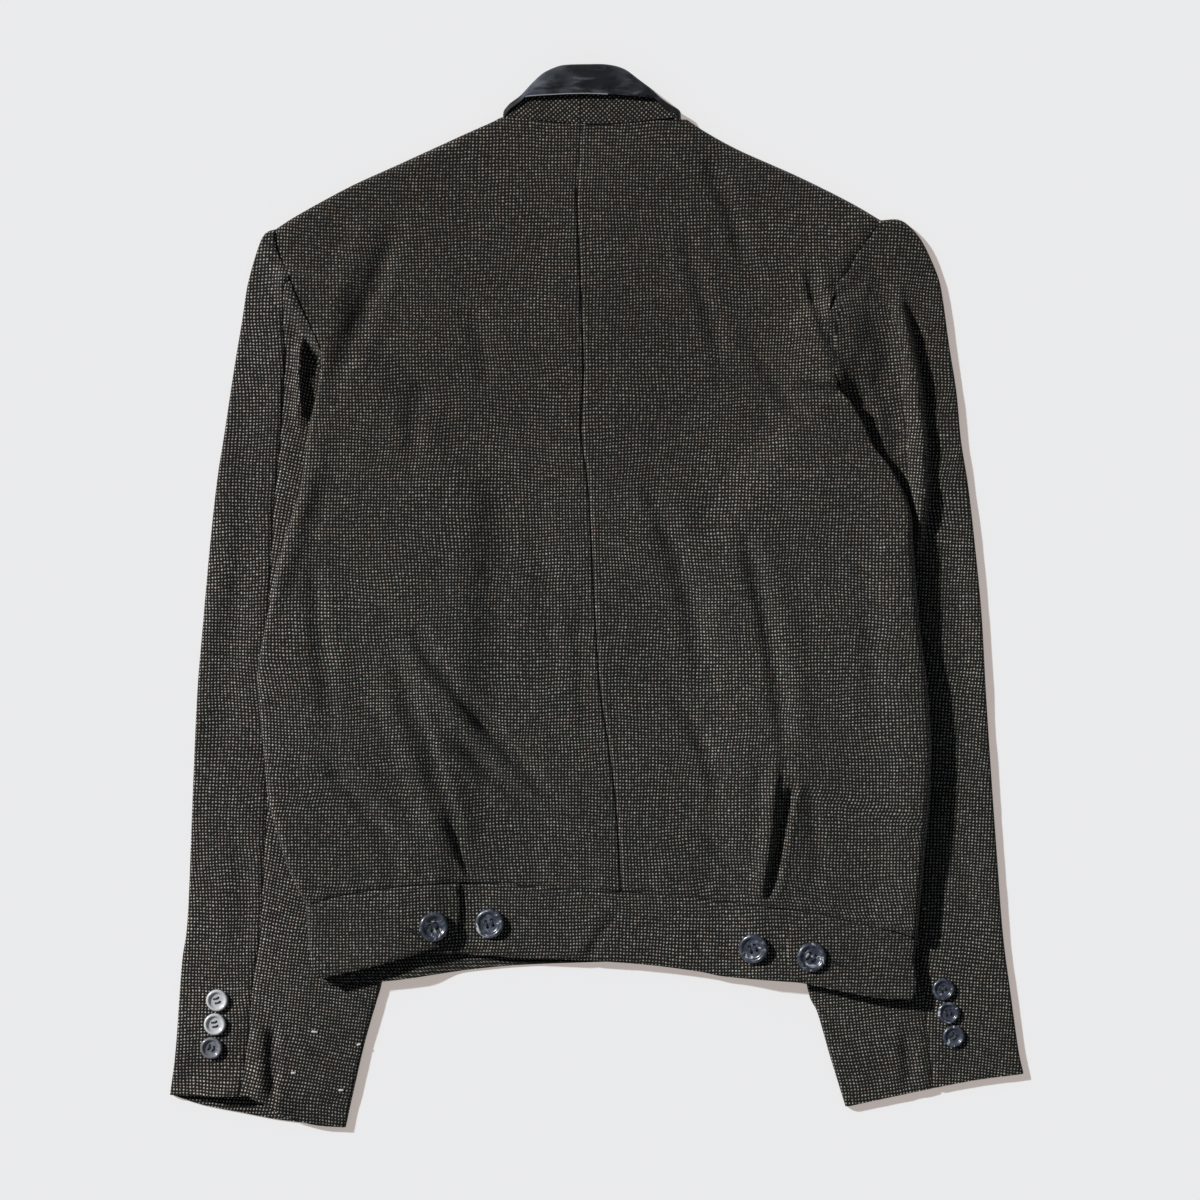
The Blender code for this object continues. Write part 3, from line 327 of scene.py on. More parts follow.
# Sewing: a topstitch's spacing, length and width, and how far it lies from a seam or an edge
TOPSTITCH = (3.0, 2.0, 0.45)
SEAM_STITCH = (3.0, 2.0, 0.4)
HOLE_STITCH = (0.55, 1.7, 0.5)
BAND_INSET = 3.2
EDGE_INSET = 2.4
CENTRE_INSET = 4.2
ABOVE_WAIST = 2.6
BUTTONHOLES = {"left": (-126.0, -225.0, -0.2), "right": (159.5, -246.0, -0.2)}
HOLE_HALF_LENGTH = 9.0
HOLE_HALF_WIDTH = 0.85
# Loose threads: middle, length and tilt of each
BASTING = [(-192, -294.5, 3.6, -0.15), (-206.5, -322.5, 2.6, -0.1), (-174, -334, 2.8, 0.0),
           (-162.0, -303, 2.0, 0.3)]
THREAD_ENDS = [(221.5, -211, 2.4, 0.5), (233, -232.5, 2.0, -0.4)]
CUFF_SPOTS = {"left": [(-258, -273), (-259.5, -289.2), (-262, -305.2)],
              "right": [(234.5, -265.5), (238, -281.4), (241.5, -297.3)]}
# Holes of a button as shares of its radius, and the strands through them
HOLE_GAP = 0.20
HOLE_RADIUS = 0.105
STRAND_RADIUS = 0.20
STRAND_PITCH = 0.28
CREST_PITCH = 0.30


def smooth_path(points, samples=16):
    """Dense smooth curve through hand-set points, as an array of rows (x, y)."""
    given = np.array(points, float)
    padded = np.vstack([2 * given[0] - given[1], given, 2 * given[-1] - given[-2]])
    pieces = []
    t = np.linspace(0, 1, samples, endpoint=False)[:, None]
    for i in range(len(given) - 1):
        a, b, c, d = padded[i:i + 4]
        pieces.append(0.5 * (2 * b + (c - a) * t + (2 * a - 5 * b + 4 * c - d) * t ** 2
                             + (3 * b - a - 3 * c + d) * t ** 3))
    pieces.append(given[-1:])
    return np.vstack(pieces)


class Path:
    """A curve read by its length from the start, made of one or more smooth stretches."""

    def __init__(self, *stretches):
        dense = [smooth_path(points) for points in stretches]
        self.points = np.vstack([dense[0]] + [run[1:] for run in dense[1:]])
        steps = np.linalg.norm(np.diff(self.points, axis=0), axis=1)
        self.along = np.concatenate([[0.0], np.cumsum(steps)])
        self.length = self.along[-1]

    def at(self, distance):
        return np.stack([np.interp(distance, self.along, self.points[:, k]) for k in (0, 1)], -1)

    def at_x(self, x):
        order = self.points[:, 0].argsort()
        return np.stack([x, np.interp(x, self.points[order, 0], self.points[order, 1])], -1)

    def normal(self, distance, sign):
        """Unit normal in plan, turned left of the path's direction for sign 1."""
        ahead = self.at(np.minimum(distance + 1.0, self.length))
        behind = self.at(np.maximum(distance - 1.0, 0.0))
        run = ahead - behind
        run = run / np.maximum(np.linalg.norm(run, axis=-1, keepdims=True), 1e-9)
        return sign * np.stack([-run[..., 1], run[..., 0]], -1)


def ease(value):
    """Smooth step from 0 to 1."""
    v = np.clip(value, 0.0, 1.0)
    return v * v * (3 - 2 * v)


def fold_relief(folds, x, y):
    """Height that the folds add: soft troughs with low lips, or ridges where depth < 0."""
    total = np.zeros_like(x)
    t = np.linspace(0, 1, 97)
    for f in folds:
        reach_most = 3.2 * f.width * max(1.0, f.skew)
        xs, ys = (f.x0, f.x1, f.x2), (f.y0, f.y1, f.y2)
        near = ((x > min(xs) - reach_most) & (x < max(xs) + reach_most)
                & (y > min(ys) - reach_most) & (y < max(ys) + reach_most))
        if not near.any():
            continue
        px, py = x[near], y[near]
        ax, ay = 2 * f.x0 - 4 * f.x1 + 2 * f.x2, 2 * f.y0 - 4 * f.y1 + 2 * f.y2
        bx, by = -3 * f.x0 + 4 * f.x1 - f.x2, -3 * f.y0 + 4 * f.y1 - f.y2
        run_x, run_y = ax * t * t + bx * t + f.x0, ay * t * t + by * t + f.y0
        off_x, off_y = px[:, None] - run_x, py[:, None] - run_y
        reach = np.hypot(off_x, off_y)
        nearest = reach.argmin(1)
        rows = np.arange(len(px))
        way_x, way_y = 2 * ax * t + bx, 2 * ay * t + by
        turn = way_x[nearest] * off_y[rows, nearest] - way_y[nearest] * off_x[rows, nearest]
        size = np.hypot(way_x[nearest], way_y[nearest])
        lean = 0.5 + 0.5 * np.tanh(turn / size / (0.35 * f.width))
        width = f.width * (1 + (f.skew - 1) * lean)
        away = reach[rows, nearest] / width
        fade = ease(np.minimum(t, 1 - t) * 4)[nearest]
        # A shallow wander keeps a long fold from reading as one smooth tube
        wander = 1 + 0.22 * np.sin(0.075 * px + 0.11 * py + f.x0) * np.sin(0.05 * py - 0.04 * px)
        fade = (0.12 + 0.88 * fade) * wander
        cut = ease((3.2 - away) / 0.8)
        total[near] -= f.depth * fade * (1 - 0.8 * away ** 2) * np.exp(-0.7 * away ** 2) * cut
    return total


def slack(x, y, size, seed):
    """Soft uneven lie of cloth, about -1 to 1, with waves of about the given size."""
    total = np.zeros_like(x)
    for k in range(7):
        turn = seed * 1.7 + k * 2.399
        wave = 2 * math.pi / (size * (0.7 + 0.13 * k))
        run = math.cos(turn) * x + math.sin(turn) * y
        bend = 9.0 * np.sin((math.sin(turn) * x - math.cos(turn) * y) * wave * 0.31 + k)
        total += np.sin((run + bend) * wave + seed * k)
    return total / 4.2


def lie(waves, x, y):
    """Sum of uneven waves, each a row of depth, size and seed."""
    return sum(depth * slack(x, y, size, seed) for depth, size, seed in waves)


def bell(distance, width):
    """Soft bump, 1 in the middle."""
    return np.exp(-(distance / width) ** 2)


def sunk(groove, distance):
    """How deep a groove is at a distance from its seam."""
    return groove.depth * bell(distance - groove.place, groove.width)


def inner_edge_x(side, y):
    """X of the sleeve's hidden inner edge, carried on past the underarm."""
    rows = np.array(side.inner_above + side.sleeve_inner, float)
    return np.interp(y, rows[::-1, 1], rows[::-1, 0])


def neck_share(x, y):
    """How far a point belongs to the neck, from 0 to 1."""
    middle_x, middle_y, half_x, half_y = NECK_RING
    edge, fade = NECK_FADE
    return ease((edge - np.hypot((x - middle_x) / half_x, (y - middle_y) / half_y)) / fade)


def underside(x, y):
    """Lowest face of the body: on the surface, but lifted over the sleeves and at the neck."""
    height = np.zeros_like(x)
    for side in (LEFT, RIGHT):
        inside = side.sign * (x - inner_edge_x(side, y))
        height += (SLEEVE_TOP + SEAM_GAP) * ease((inside + RAMP_CLEAR + RAMP) / RAMP)
    return height + NECK_RISE * neck_share(x, y)


WAIST_ROWS = np.array(LEFT.waist + RIGHT.waist[-2::-1], float)
CENTRE_ROWS = Path(CENTRE_SEAM).points[::-1]


def waist_y(x):
    """Y of the waist seam at x."""
    return np.interp(x, WAIST_ROWS[:, 0], WAIST_ROWS[:, 1])


def centre_x(y):
    """X of the centre back seam at y."""
    return np.interp(y, CENTRE_ROWS[:, 1], CENTRE_ROWS[:, 0])


RIGHT_EDGE = np.array(RIGHT.edge, float)


def standing_edge(x, y):
    """How far the right side stands up along its edge, steep outside and slow inside."""
    inside = np.interp(-y, -RIGHT_EDGE[:, 1], RIGHT_EDGE[:, 0]) - x - STAND_INSET
    along = ease((STAND_TOP - y) / STAND_RUN) * (0.88 + 0.12 * np.sin(y * 0.041))
    return STAND_HEIGHT * along * bell(inside, np.where(inside > 0, STAND_SLOW, STAND_STEEP))


def air(x, y):
    """Space between front and back: the usual air, changed by the folds."""
    above_waist = y - waist_y(x)
    from_centre = x - centre_x(y)
    pressed = ease((above_waist - 0.5) / 9)
    wanted = USUAL_AIR + DOME_HEIGHT * ease(above_waist / DOME_RUN)
    wanted = wanted + (fold_relief(BACK_FOLDS, x, y) + lie(BACK_LIE, x, y)) * pressed
    wanted = wanted + standing_edge(x, y) * ease((above_waist + 20) / 30)
    # Pucker along the centre seam and the pull of the band on the cloth above it
    pucker = PUCKER_DEPTH * np.sin(y * 0.52) * bell(from_centre, 9)
    gather = GATHER_DEPTH * np.sin(x * 0.33 + 0.5 * np.sin(x * 0.07)) * bell(above_waist - 8, 9)
    wanted = wanted + pucker * pressed + gather * (above_waist > 0)
    wanted = wanted - sunk(STITCH_DIP, from_centre) - sunk(WAIST_GROOVE, above_waist)
    wanted = wanted + (NECK_AIR - wanted) * neck_share(x, y)
    wanted = wanted - sunk(CENTRE_GROOVE, from_centre) - sunk(CENTRE_LIP, from_centre)
    # Below the least air a trough fades out softly
    spare = wanted - LEAST_AIR
    squeezed = SOFT_AIR * (np.exp(np.minimum(spare, 0) / SOFT_AIR) - 1)
    return np.minimum(LEAST_AIR + np.maximum(spare, 0) + squeezed, MOST_AIR)


def topside(x, y):
    """Uppermost face of the back panels."""
    return underside(x, y) + 2 * BODY_WALL + air(x, y)


def seam_height(x, y):
    """Height of the seam where front and back meet at a rolled edge, free of folds."""
    usual = USUAL_AIR + (NECK_AIR - USUAL_AIR) * neck_share(x, y)
    return underside(x, y) + BODY_WALL + usual / 2


def roll_steps(radius, count=7):
    """Distances from a rolled edge and their angles, from 0 to a quarter turn."""
    angles = np.linspace(0, math.pi / 2, count + 1)
    return radius * (1 - np.cos(angles)), angles


def coons(top, bottom, outer, inner, u, v):
    """Grid between four edges: top and bottom by column, outer and inner by row."""
    u, v = u[None, :, None], v[:, None, None]
    ruled = (1 - u) * outer[:, None] + u * inner[:, None]
    lofted = (1 - v) * top[None] + v * bottom[None]
    corners = ((1 - u) * (1 - v) * top[0] + u * (1 - v) * top[-1]
               + (1 - u) * v * bottom[0] + u * v * bottom[-1])
    return ruled + lofted - corners


def slope_extra(steps):
    """How much longer each step is than its plan."""
    return np.linalg.norm(steps, axis=2) - np.hypot(steps[..., 0], steps[..., 1])


def unrolled(skin, column, row, fold=None, turn=0.0, about=(0.0, 0.0)):
    """Flat cloth coordinates: the plan, stretched by what folds and rolled edges take up."""
    x, y = skin[..., 0].copy(), skin[..., 1].copy()
    if fold is not None:
        x[:, fold + 1:] = 2 * x[:, fold:fold + 1] - x[:, fold + 1:]
    across = np.cumsum(slope_extra(np.diff(skin, axis=1)), 1)
    across = np.concatenate([np.zeros((len(x), 1)), across], 1)
    across = (across - across[:, column:column + 1]) * np.sign(x[:, -1:] - x[:, :1])
    down = np.cumsum(slope_extra(np.diff(skin, axis=0)), 0)
    down = np.concatenate([np.zeros((1, x.shape[1])), down], 0)
    down = (down - down[row:row + 1]) * np.sign(y[-1:] - y[:1])
    u, v = x + TAKEN_UP[0] * across, y + TAKEN_UP[1] * down
    u, v = u + lie(ACROSS_WANDER, u, v), v + lie(DOWN_WANDER, v, u)
    c, s = math.cos(turn), math.sin(turn)
    u, v = u - about[0], v - about[1]
    return np.stack([c * u - s * v, s * u + c * v], -1)


def wall_mesh(name, outer, inner, cloth, material, node):
    """Closed shell between two grids of points, shown in place of its solid."""
    rows, cols = outer.shape[:2]
    number = np.arange(rows * cols).reshape(rows, cols)
    a, b = number[:-1, :-1], number[:-1, 1:]
    c, d = number[1:, 1:], number[1:, :-1]
    up = np.stack([a, b, c, d], -1).reshape(-1, 4)
    below = np.stack([a, d, c, b], -1).reshape(-1, 4) + rows * cols
    rim = np.concatenate([number[:, 0], number[-1, 1:], number[-2::-1, -1], number[0, -2:0:-1]])
    after = np.roll(rim, -1)
    sides = np.stack([rim, after, after + rows * cols, rim + rows * cols], -1)
    points = np.concatenate([outer.reshape(-1, 3), inner.reshape(-1, 3)]) * MM
    mesh = bpy.data.meshes.new(name)
    mesh.from_pydata(points.tolist(), [], np.concatenate([up, below, sides]).tolist())
    layer = mesh.uv_layers.new(name="cloth")
    flat = np.tile(cloth.reshape(-1, 2), (2, 1)) * MM
    loops = np.zeros(len(mesh.loops), int)
    mesh.loops.foreach_get("vertex_index", loops)
    layer.data.foreach_set("uv", flat[loops].ravel().astype(np.float32))
    shape = bmesh.new()
    shape.from_mesh(mesh)
    bmesh.ops.recalc_face_normals(shape, faces=shape.faces[:])
    if shape.calc_volume(signed=True) < 0:
        bmesh.ops.reverse_faces(shape, faces=shape.faces[:])
    shape.to_mesh(mesh)
    shape.free()
    piece = finished(name, mesh, material)
    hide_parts(node)
    one, two = outer[1:, 1:] - outer[:-1, :-1], outer[1:, :-1] - outer[:-1, 1:]


def placed(name, data):
    """New object at the origin, in the scene."""
    made = bpy.data.objects.new(name, data)
    bpy.context.scene.collection.objects.link(made)
    return made


def as_mesh(name, shape):
    """The shape as a mesh of its own."""
    mesh = bpy.data.meshes.new(name)
    shape.to_mesh(mesh)
    shape.free()
    return mesh


def evaluated_mesh(carrier):
    """Plain mesh of an object with its modifiers; the object goes."""
    bpy.context.view_layer.update()
    ready = carrier.evaluated_get(bpy.context.evaluated_depsgraph_get())
    mesh = bpy.data.meshes.new_from_object(ready)
    bpy.data.objects.remove(carrier)
    return mesh


def finished(name, mesh, material):
    """Object at the origin, smooth, in one material, riding on the jacket."""
    mesh.materials.clear()
    mesh.materials.append(material)
    mesh.shade_smooth()
    mesh.set_sharp_from_angle(angle=math.radians(55))
    piece = placed(name, mesh)
    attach(piece, "root")
    return piece


# Materials

class Wire:
    """A node socket that takes part in arithmetic."""

    def __init__(self, tree, socket):
        self.tree, self.socket = tree, socket

    def maths(self, operation, *values):
        return node(self.tree, "ShaderNodeMath", {"operation": operation},
                    dict(enumerate((self,) + values)))

    def __add__(self, other):
        return self.maths("ADD", other)

    def __sub__(self, other):
        return self.maths("SUBTRACT", other)

    def __mul__(self, other):
        return self.maths("MULTIPLY", other)

    def __truediv__(self, other):
        return self.maths("DIVIDE", other)

    def __rsub__(self, other):
        return node(self.tree, "ShaderNodeMath", {"operation": "SUBTRACT"}, {0: other, 1: self})

    __radd__, __rmul__ = __add__, __mul__


def node(tree, kind, settings=None, values=None, out=0):
    """One node: its settings first, then the values or links of its sockets."""
    made = tree.nodes.new(kind)
    for name, value in (settings or {}).items():
        if name == "stops":
            ramp = made.color_ramp
            while len(ramp.elements) < len(value):
                ramp.elements.new(0.5)
            for element, (place, colour) in zip(ramp.elements, value):
                element.position = place
                element.color = (*colour, 1) if len(colour) == 3 else colour
        else:
            setattr(made, name, value)
    for key, value in (values or {}).items():
        socket = made.inputs[key]
        if isinstance(value, Wire):
            tree.links.new(value.socket, socket)
        else:
            socket.default_value = value
    return Wire(tree, made.outputs[out])


def blend(tree, share, first, second, mode="MIX"):
    """Two colours mixed by a share."""
    made = tree.nodes.new("ShaderNodeMix")
    made.data_type = "RGBA"
    made.blend_type = mode
    made.clamp_factor = True
    for number, value in ((0, share), (6, first), (7, second)):
        if isinstance(value, Wire):
            tree.links.new(value.socket, made.inputs[number])
        elif number == 0:
            made.inputs[number].default_value = value
        else:
            made.inputs[number].default_value = (*value, 1)
    return Wire(tree, made.outputs[2])


def tinted(tree, share, colour, tint):
    """A colour multiplied by a tint, as far as the share goes."""
    return blend(tree, share, colour, blend(tree, 1.0, colour, tint, "MULTIPLY"))


def ramp(tree, wire, low, high):
    """Share that goes smoothly from 0 at low to 1 at high."""
    return node(tree, "ShaderNodeMapRange", {"interpolation_type": "SMOOTHSTEP"},
                {"Value": wire, "From Min": low, "From Max": high})


def object_place(tree):
    """Place on the object, in metres."""
    return Wire(tree, tree.nodes.new("ShaderNodeTexCoord").outputs["Object"])


def parts_of(tree, vector):
    """The three parts of a vector."""
    made = tree.nodes.new("ShaderNodeSeparateXYZ")
    tree.links.new(vector.socket, made.inputs[0])
    return [Wire(tree, socket) for socket in made.outputs]


def shader_tree(name):
    """New material with its node tree and its one shader."""
    material = bpy.data.materials.new(name)
    material.use_nodes = True
    tree = material.node_tree
    return material, tree, tree.nodes["Principled BSDF"]


def dress(tree, shader, colour, roughness, height, depth):
    """Colour, roughness and bump, the only things that change over the surface."""
    tree.links.new(colour.socket, shader.inputs["Base Color"])
    if isinstance(roughness, Wire):
        tree.links.new(roughness.socket, shader.inputs["Roughness"])
    else:
        shader.inputs["Roughness"].default_value = roughness
    bump = node(tree, "ShaderNodeBump", None,
                {"Strength": 1.0, "Distance": depth, "Height": height})
    tree.links.new(bump.socket, shader.inputs["Normal"])


def tweed():
    """Dark brown nailhead: a square grid of pale dots on a charcoal ground."""
    material, tree, shader = shader_tree("nailhead_tweed")
    flat = node(tree, "ShaderNodeUVMap", {"uv_map": "cloth"})
    fine = node(tree, "ShaderNodeTexNoise", {"noise_dimensions": "2D"},
                {"Vector": flat, "Scale": 420.0, "Detail": 2.0})
    shake = node(tree, "ShaderNodeVectorMath", {"operation": "MULTIPLY_ADD"},
                 {0: node(tree, "ShaderNodeTexNoise", {"noise_dimensions": "2D"},
                          {"Vector": flat, "Scale": 260.0, "Detail": 1.0}, out=1),
                  1: (0.0009, 0.0009, 0), 2: flat})
    grid = node(tree, "ShaderNodeVectorMath", {"operation": "SCALE"},
                {0: shake, "Scale": 1000.0 / DOT_PITCH})
    cell = node(tree, "ShaderNodeVectorMath", {"operation": "FLOOR"}, {0: grid})
    inside = node(tree, "ShaderNodeVectorMath", {"operation": "FRACTION"}, {0: grid})
    across, along = parts_of(tree, inside)[:2]
    chance = node(tree, "ShaderNodeTexWhiteNoise", {"noise_dimensions": "2D"}, {"Vector": cell})
    other = node(tree, "ShaderNodeTexWhiteNoise", {"noise_dimensions": "2D"},
                 {"Vector": node(tree, "ShaderNodeVectorMath", {"operation": "ADD"},
                                 {0: cell, 1: (37.0, 11.0, 0.0)})})
    off_x = (across - 0.5).maths("ABSOLUTE")
    off_y = (along - 0.5).maths("ABSOLUTE")
    size = (off_x * off_x + off_y * off_y).maths("POWER", 0.5)
    dot = 1 - ramp(tree, size + (other - 0.5) * 0.10, 0.12, 0.32)
    # Yarn: two ends and two picks to a cell, each crossing a little dark
    ribs = (across * (4 * math.pi)).maths("COSINE") * 0.5 + 0.5
    picks = (along * (4 * math.pi)).maths("COSINE") * 0.5 + 0.5
    ground = blend(tree, ribs * picks * 0.6 + fine * 0.35, (0.0014, 0.0014, 0.0012),
                   (0.0088, 0.0086, 0.0074))
    broad = node(tree, "ShaderNodeTexNoise", {"noise_dimensions": "2D"},
                 {"Vector": flat, "Scale": 9.0, "Detail": 3.0})
    yarn = node(tree, "ShaderNodeValToRGB",
                {"stops": [(0.0, (0.190, 0.188, 0.168)), (0.40, (0.325, 0.325, 0.290)),
                           (0.72, (0.490, 0.490, 0.445)), (0.88, (0.370, 0.275, 0.215)),
                           (1.0, (0.230, 0.250, 0.270))]}, {"Fac": chance})
    dot_share = dot * (0.70 + other * 0.30)
    colour = blend(tree, dot_share, ground, yarn)
    shade = ramp(tree, broad, 0.32, 0.70)
    colour = blend(tree, 1.0, colour, blend(tree, shade, (0.86, 0.85, 0.84), (1.08, 1.07, 1.05)),
                   "MULTIPLY")
    # The left sleeve is painted paler, as painted light where it faces the light, and the shoulders
    # are a little deeper and warmer
    x, y = parts_of(tree, object_place(tree))[:2]
    painted_light_left = ramp(tree, x * -1, 0.185, 0.225)
    from_below = ramp(tree, y, -0.05, 0.20) * (1 - painted_light_left)
    colour = tinted(tree, painted_light_left, colour, (1.34, 1.30, 1.32))
    colour = tinted(tree, from_below, colour, (0.88, 0.84, 0.80))
    height = dot * 0.8 + ribs * picks * 0.25 + fine * 0.35
    dress(tree, shader, colour, 0.92, height, 0.00022)
    shader.inputs["Sheen Weight"].default_value = 0.06
    shader.inputs["Sheen Roughness"].default_value = 0.6
    shader.inputs["Specular IOR Level"].default_value = 0.2
    return material


def leather():
    """Soft blue-black leather with fine grain, long wrinkles and worn lighter places."""
    material, tree, shader = shader_tree("collar_leather")
    place = object_place(tree)
    grain = node(tree, "ShaderNodeTexVoronoi", {"feature": "DISTANCE_TO_EDGE"},
                 {"Vector": place, "Scale": 1500.0})
    drawn = node(tree, "ShaderNodeMapping", None, {"Vector": place, "Scale": (60.0, 260.0, 60.0)})
    wrinkle = node(tree, "ShaderNodeTexNoise", None,
                   {"Vector": drawn, "Scale": 1.0, "Detail": 4.0, "Distortion": 0.6})
    worn = node(tree, "ShaderNodeTexNoise", None, {"Vector": place, "Scale": 38.0, "Detail": 4.0})
    patch = ramp(tree, worn, 0.44, 0.66)
    colour = blend(tree, patch, (0.0020, 0.0028, 0.0058), (0.046, 0.053, 0.070))
    colour = blend(tree, ramp(tree, wrinkle, 0.54, 0.68) * 0.6, colour, (0.085, 0.092, 0.106))
    # Where it turns down at the sides of the neck it lies in shade and looks almost black
    from_middle = (parts_of(tree, place)[0] + 0.0045).maths("ABSOLUTE")
    colour = blend(tree, ramp(tree, from_middle, 0.0445, 0.0495) * 0.85, colour,
                   (0.0035, 0.0035, 0.0040))
    rough = 0.40 + patch * 0.14 + wrinkle * 0.12
    height = wrinkle * 0.8 + ramp(tree, grain, 0.0, 0.12) * 0.18
    dress(tree, shader, colour, rough, height, 0.0004)
    shader.inputs["Specular IOR Level"].default_value = 0.26
    return material


def resin(name, pale):
    """Marbled navy and grey button resin, polished; pale from 0 to 1 is a painted reflection that
    mixes the colour toward pale grey.
    """
    material, tree, shader = shader_tree(name)
    place = object_place(tree)
    swirl = node(tree, "ShaderNodeTexNoise", None,
                 {"Vector": place, "Scale": 170.0, "Detail": 3.0, "Distortion": 1.6})
    vein = node(tree, "ShaderNodeTexNoise", None,
                {"Vector": place, "Scale": 90.0, "Detail": 2.0, "Distortion": 2.4})
    colour = node(tree, "ShaderNodeValToRGB",
                  {"stops": [(0.30, (0.014, 0.018, 0.030)), (0.50, (0.034, 0.042, 0.062)),
                             (0.62, (0.070, 0.082, 0.108)), (0.76, (0.180, 0.195, 0.225))]},
                  {"Fac": swirl})
    colour = blend(tree, ramp(tree, vein, 0.62, 0.67) * 0.8, colour, (0.50, 0.52, 0.56))
    # Painted reflection: the colour is mixed toward pale grey as far as the given share goes
    colour = blend(tree, pale, colour, (0.62, 0.63, 0.65))
    dress(tree, shader, colour, 0.32, swirl, 0.00002)
    shader.inputs["Coat Weight"].default_value = 0.45
    shader.inputs["Coat Roughness"].default_value = 0.16
    return material


def thread(name, colour, roughness=0.6):
    """Twisted sewing thread."""
    material, tree, shader = shader_tree(name)
    place = object_place(tree)
    twist = node(tree, "ShaderNodeTexWave", {"bands_direction": "DIAGONAL"},
                 {"Vector": place, "Scale": 1400.0, "Distortion": 1.0})
    dark = tuple(0.45 * c for c in colour)
    dress(tree, shader, blend(tree, twist, dark, colour), roughness, twist, 0.0001)
    return material


CLOTH = tweed()
LEATHER = leather()
RESIN = resin("button_resin", 0.0)
# Copies of the resin with a strong and a dim painted reflection
PAINTED_REFLECTION_RESIN = resin("painted_reflection_button_resin", 0.75)
DIM_PAINTED_REFLECTION_RESIN = resin("dim_painted_reflection_button_resin", 0.18)
DARK_THREAD = thread("dark_thread", (0.020, 0.019, 0.020))
NAVY_THREAD = thread("navy_thread", (0.030, 0.033, 0.050), 0.5)
WHITE_THREAD = thread("white_thread", (0.85, 0.85, 0.84))
# Pale strand material that paints the highlight on the leather's edge
EDGE_HIGHLIGHT_THREAD = thread("painted_highlight_leather_edge", (0.46, 0.47, 0.48))


# Body

def body_panel(name, side, lower, steps_across, steps_down):
    """One half of the back, or of the front if lower, rolled at the side and the shoulder."""
    roll, angles = roll_steps(BODY_ROLL)
    shoulder_length, arm_length = Path(side.shoulder).length, Path(side.armhole).length
    top = Path(side.shoulder, side.front_neck if lower else side.neck)
    outer = Path(side.armhole, side.edge)
    inner = Path(CENTRE_FRONT if lower else CENTRE_SEAM)
    bottom = Path(side.front_waist if lower else side.waist)

    def stations(length, steps):
        last = np.array([length]) if lower else length - np.array(SEAM_STEPS)
        return np.concatenate([roll, np.linspace(roll[-1], last[0], steps)[1:], last[1:]])

    columns, rows = stations(top.length, steps_across), stations(outer.length, steps_down)
    u, v = columns / top.length, rows / outer.length
    # Both halves share the rows of their centre seam
    left_arm, left_all = Path(LEFT.armhole).length, Path(LEFT.armhole, LEFT.edge).length
    shared = np.interp(rows, [0, arm_length, outer.length], [0, left_arm, left_all]) / left_all
    plan = coons(top.at(columns), bottom.at(u * bottom.length), outer.at(rows),
                 inner.at(shared * inner.length), u, v)
    turn_u = np.concatenate([angles, np.full(len(columns) - len(angles), math.pi / 2)])
    turn_v = np.concatenate([angles, np.full(len(rows) - len(angles), math.pi / 2)])
    open_arm = ease((arm_length - rows) / 25)[:, None]
    open_neck = ease((columns - shoulder_length) / 6)[None, :]
    q_side = np.sin(turn_u)[None, :] * (1 - open_arm) + open_arm
    q_top = np.sin(turn_v)[:, None] * (1 - open_neck) + open_neck
    full = q_side * q_top
    plan[:, -1, 0] += side.sign * SHUT_SEAM / 2
    plan[-1, :, 1] += SEAM_GAP / 2
    x, y = plan[..., 0], plan[..., 1]
    face = -1.0 if lower else 1.0
    target = underside(x, y) if lower else topside(x, y)
    seam = seam_height(x, y) + face * SIDE_SEAM_GAP / 2
    z = seam + (target - seam) * full
    lean_side = np.cos(turn_u)[None, :] * (1 - open_arm)
    lean_top = np.cos(turn_v)[:, None] * (1 - open_neck)
    lean = (lean_side[..., None] * outer.normal(rows, side.sign)[:, None]
            + lean_top[..., None] * top.normal(columns, -side.sign)[None])
    skin = np.concatenate([plan, z[..., None]], -1)
    inside = np.concatenate([plan - CLOTH_THICK * lean,
                             (z - face * CLOTH_THICK * full)[..., None]], -1)
    cloth = unrolled(skin, len(columns) - 1, len(rows) // 2)
    wall_mesh(name + "_cloth", skin, inside, cloth, CLOTH, name)


# Sleeves

def edge_x(side, y):
    """X of the body's side edge at y, or far on the other side where there is no edge."""
    rows = np.array(side.edge + (TAB_LEFT_EDGE if side.sign < 0 else TAB_RIGHT_EDGE), float)
    found = np.interp(-y, -rows[:, 1], rows[:, 0])
    outside = (y > rows[0, 1]) | (y < rows[-1, 1] - 12)
    return np.where(outside, -side.sign * 1000.0, found)


def sleeve_lie(x, y):
    """Folds and uneven lie of both sleeves."""
    return fold_relief(SLEEVE_FOLDS + [MOUTH], x, y) + lie(SLEEVE_LIE, x, y)


def sleeve_relief(side, x, y, u, reach):
    """Folds of a sleeve, none where the body lies on it or at the underarm."""
    covered = ease((side.sign * (edge_x(side, y) - x)) / 10 + 0.6)
    tucked = ease((u - 0.8) / 0.12) * ease((110 - reach) / 20)
    least = 2 * CLOTH_THICK + SLEEVE_AIR - SLEEVE_TOP
    relief = np.clip(sleeve_lie(x, y), least, MOST_RELIEF)
    return relief * (1 - covered) * (1 - tucked), tucked, covered


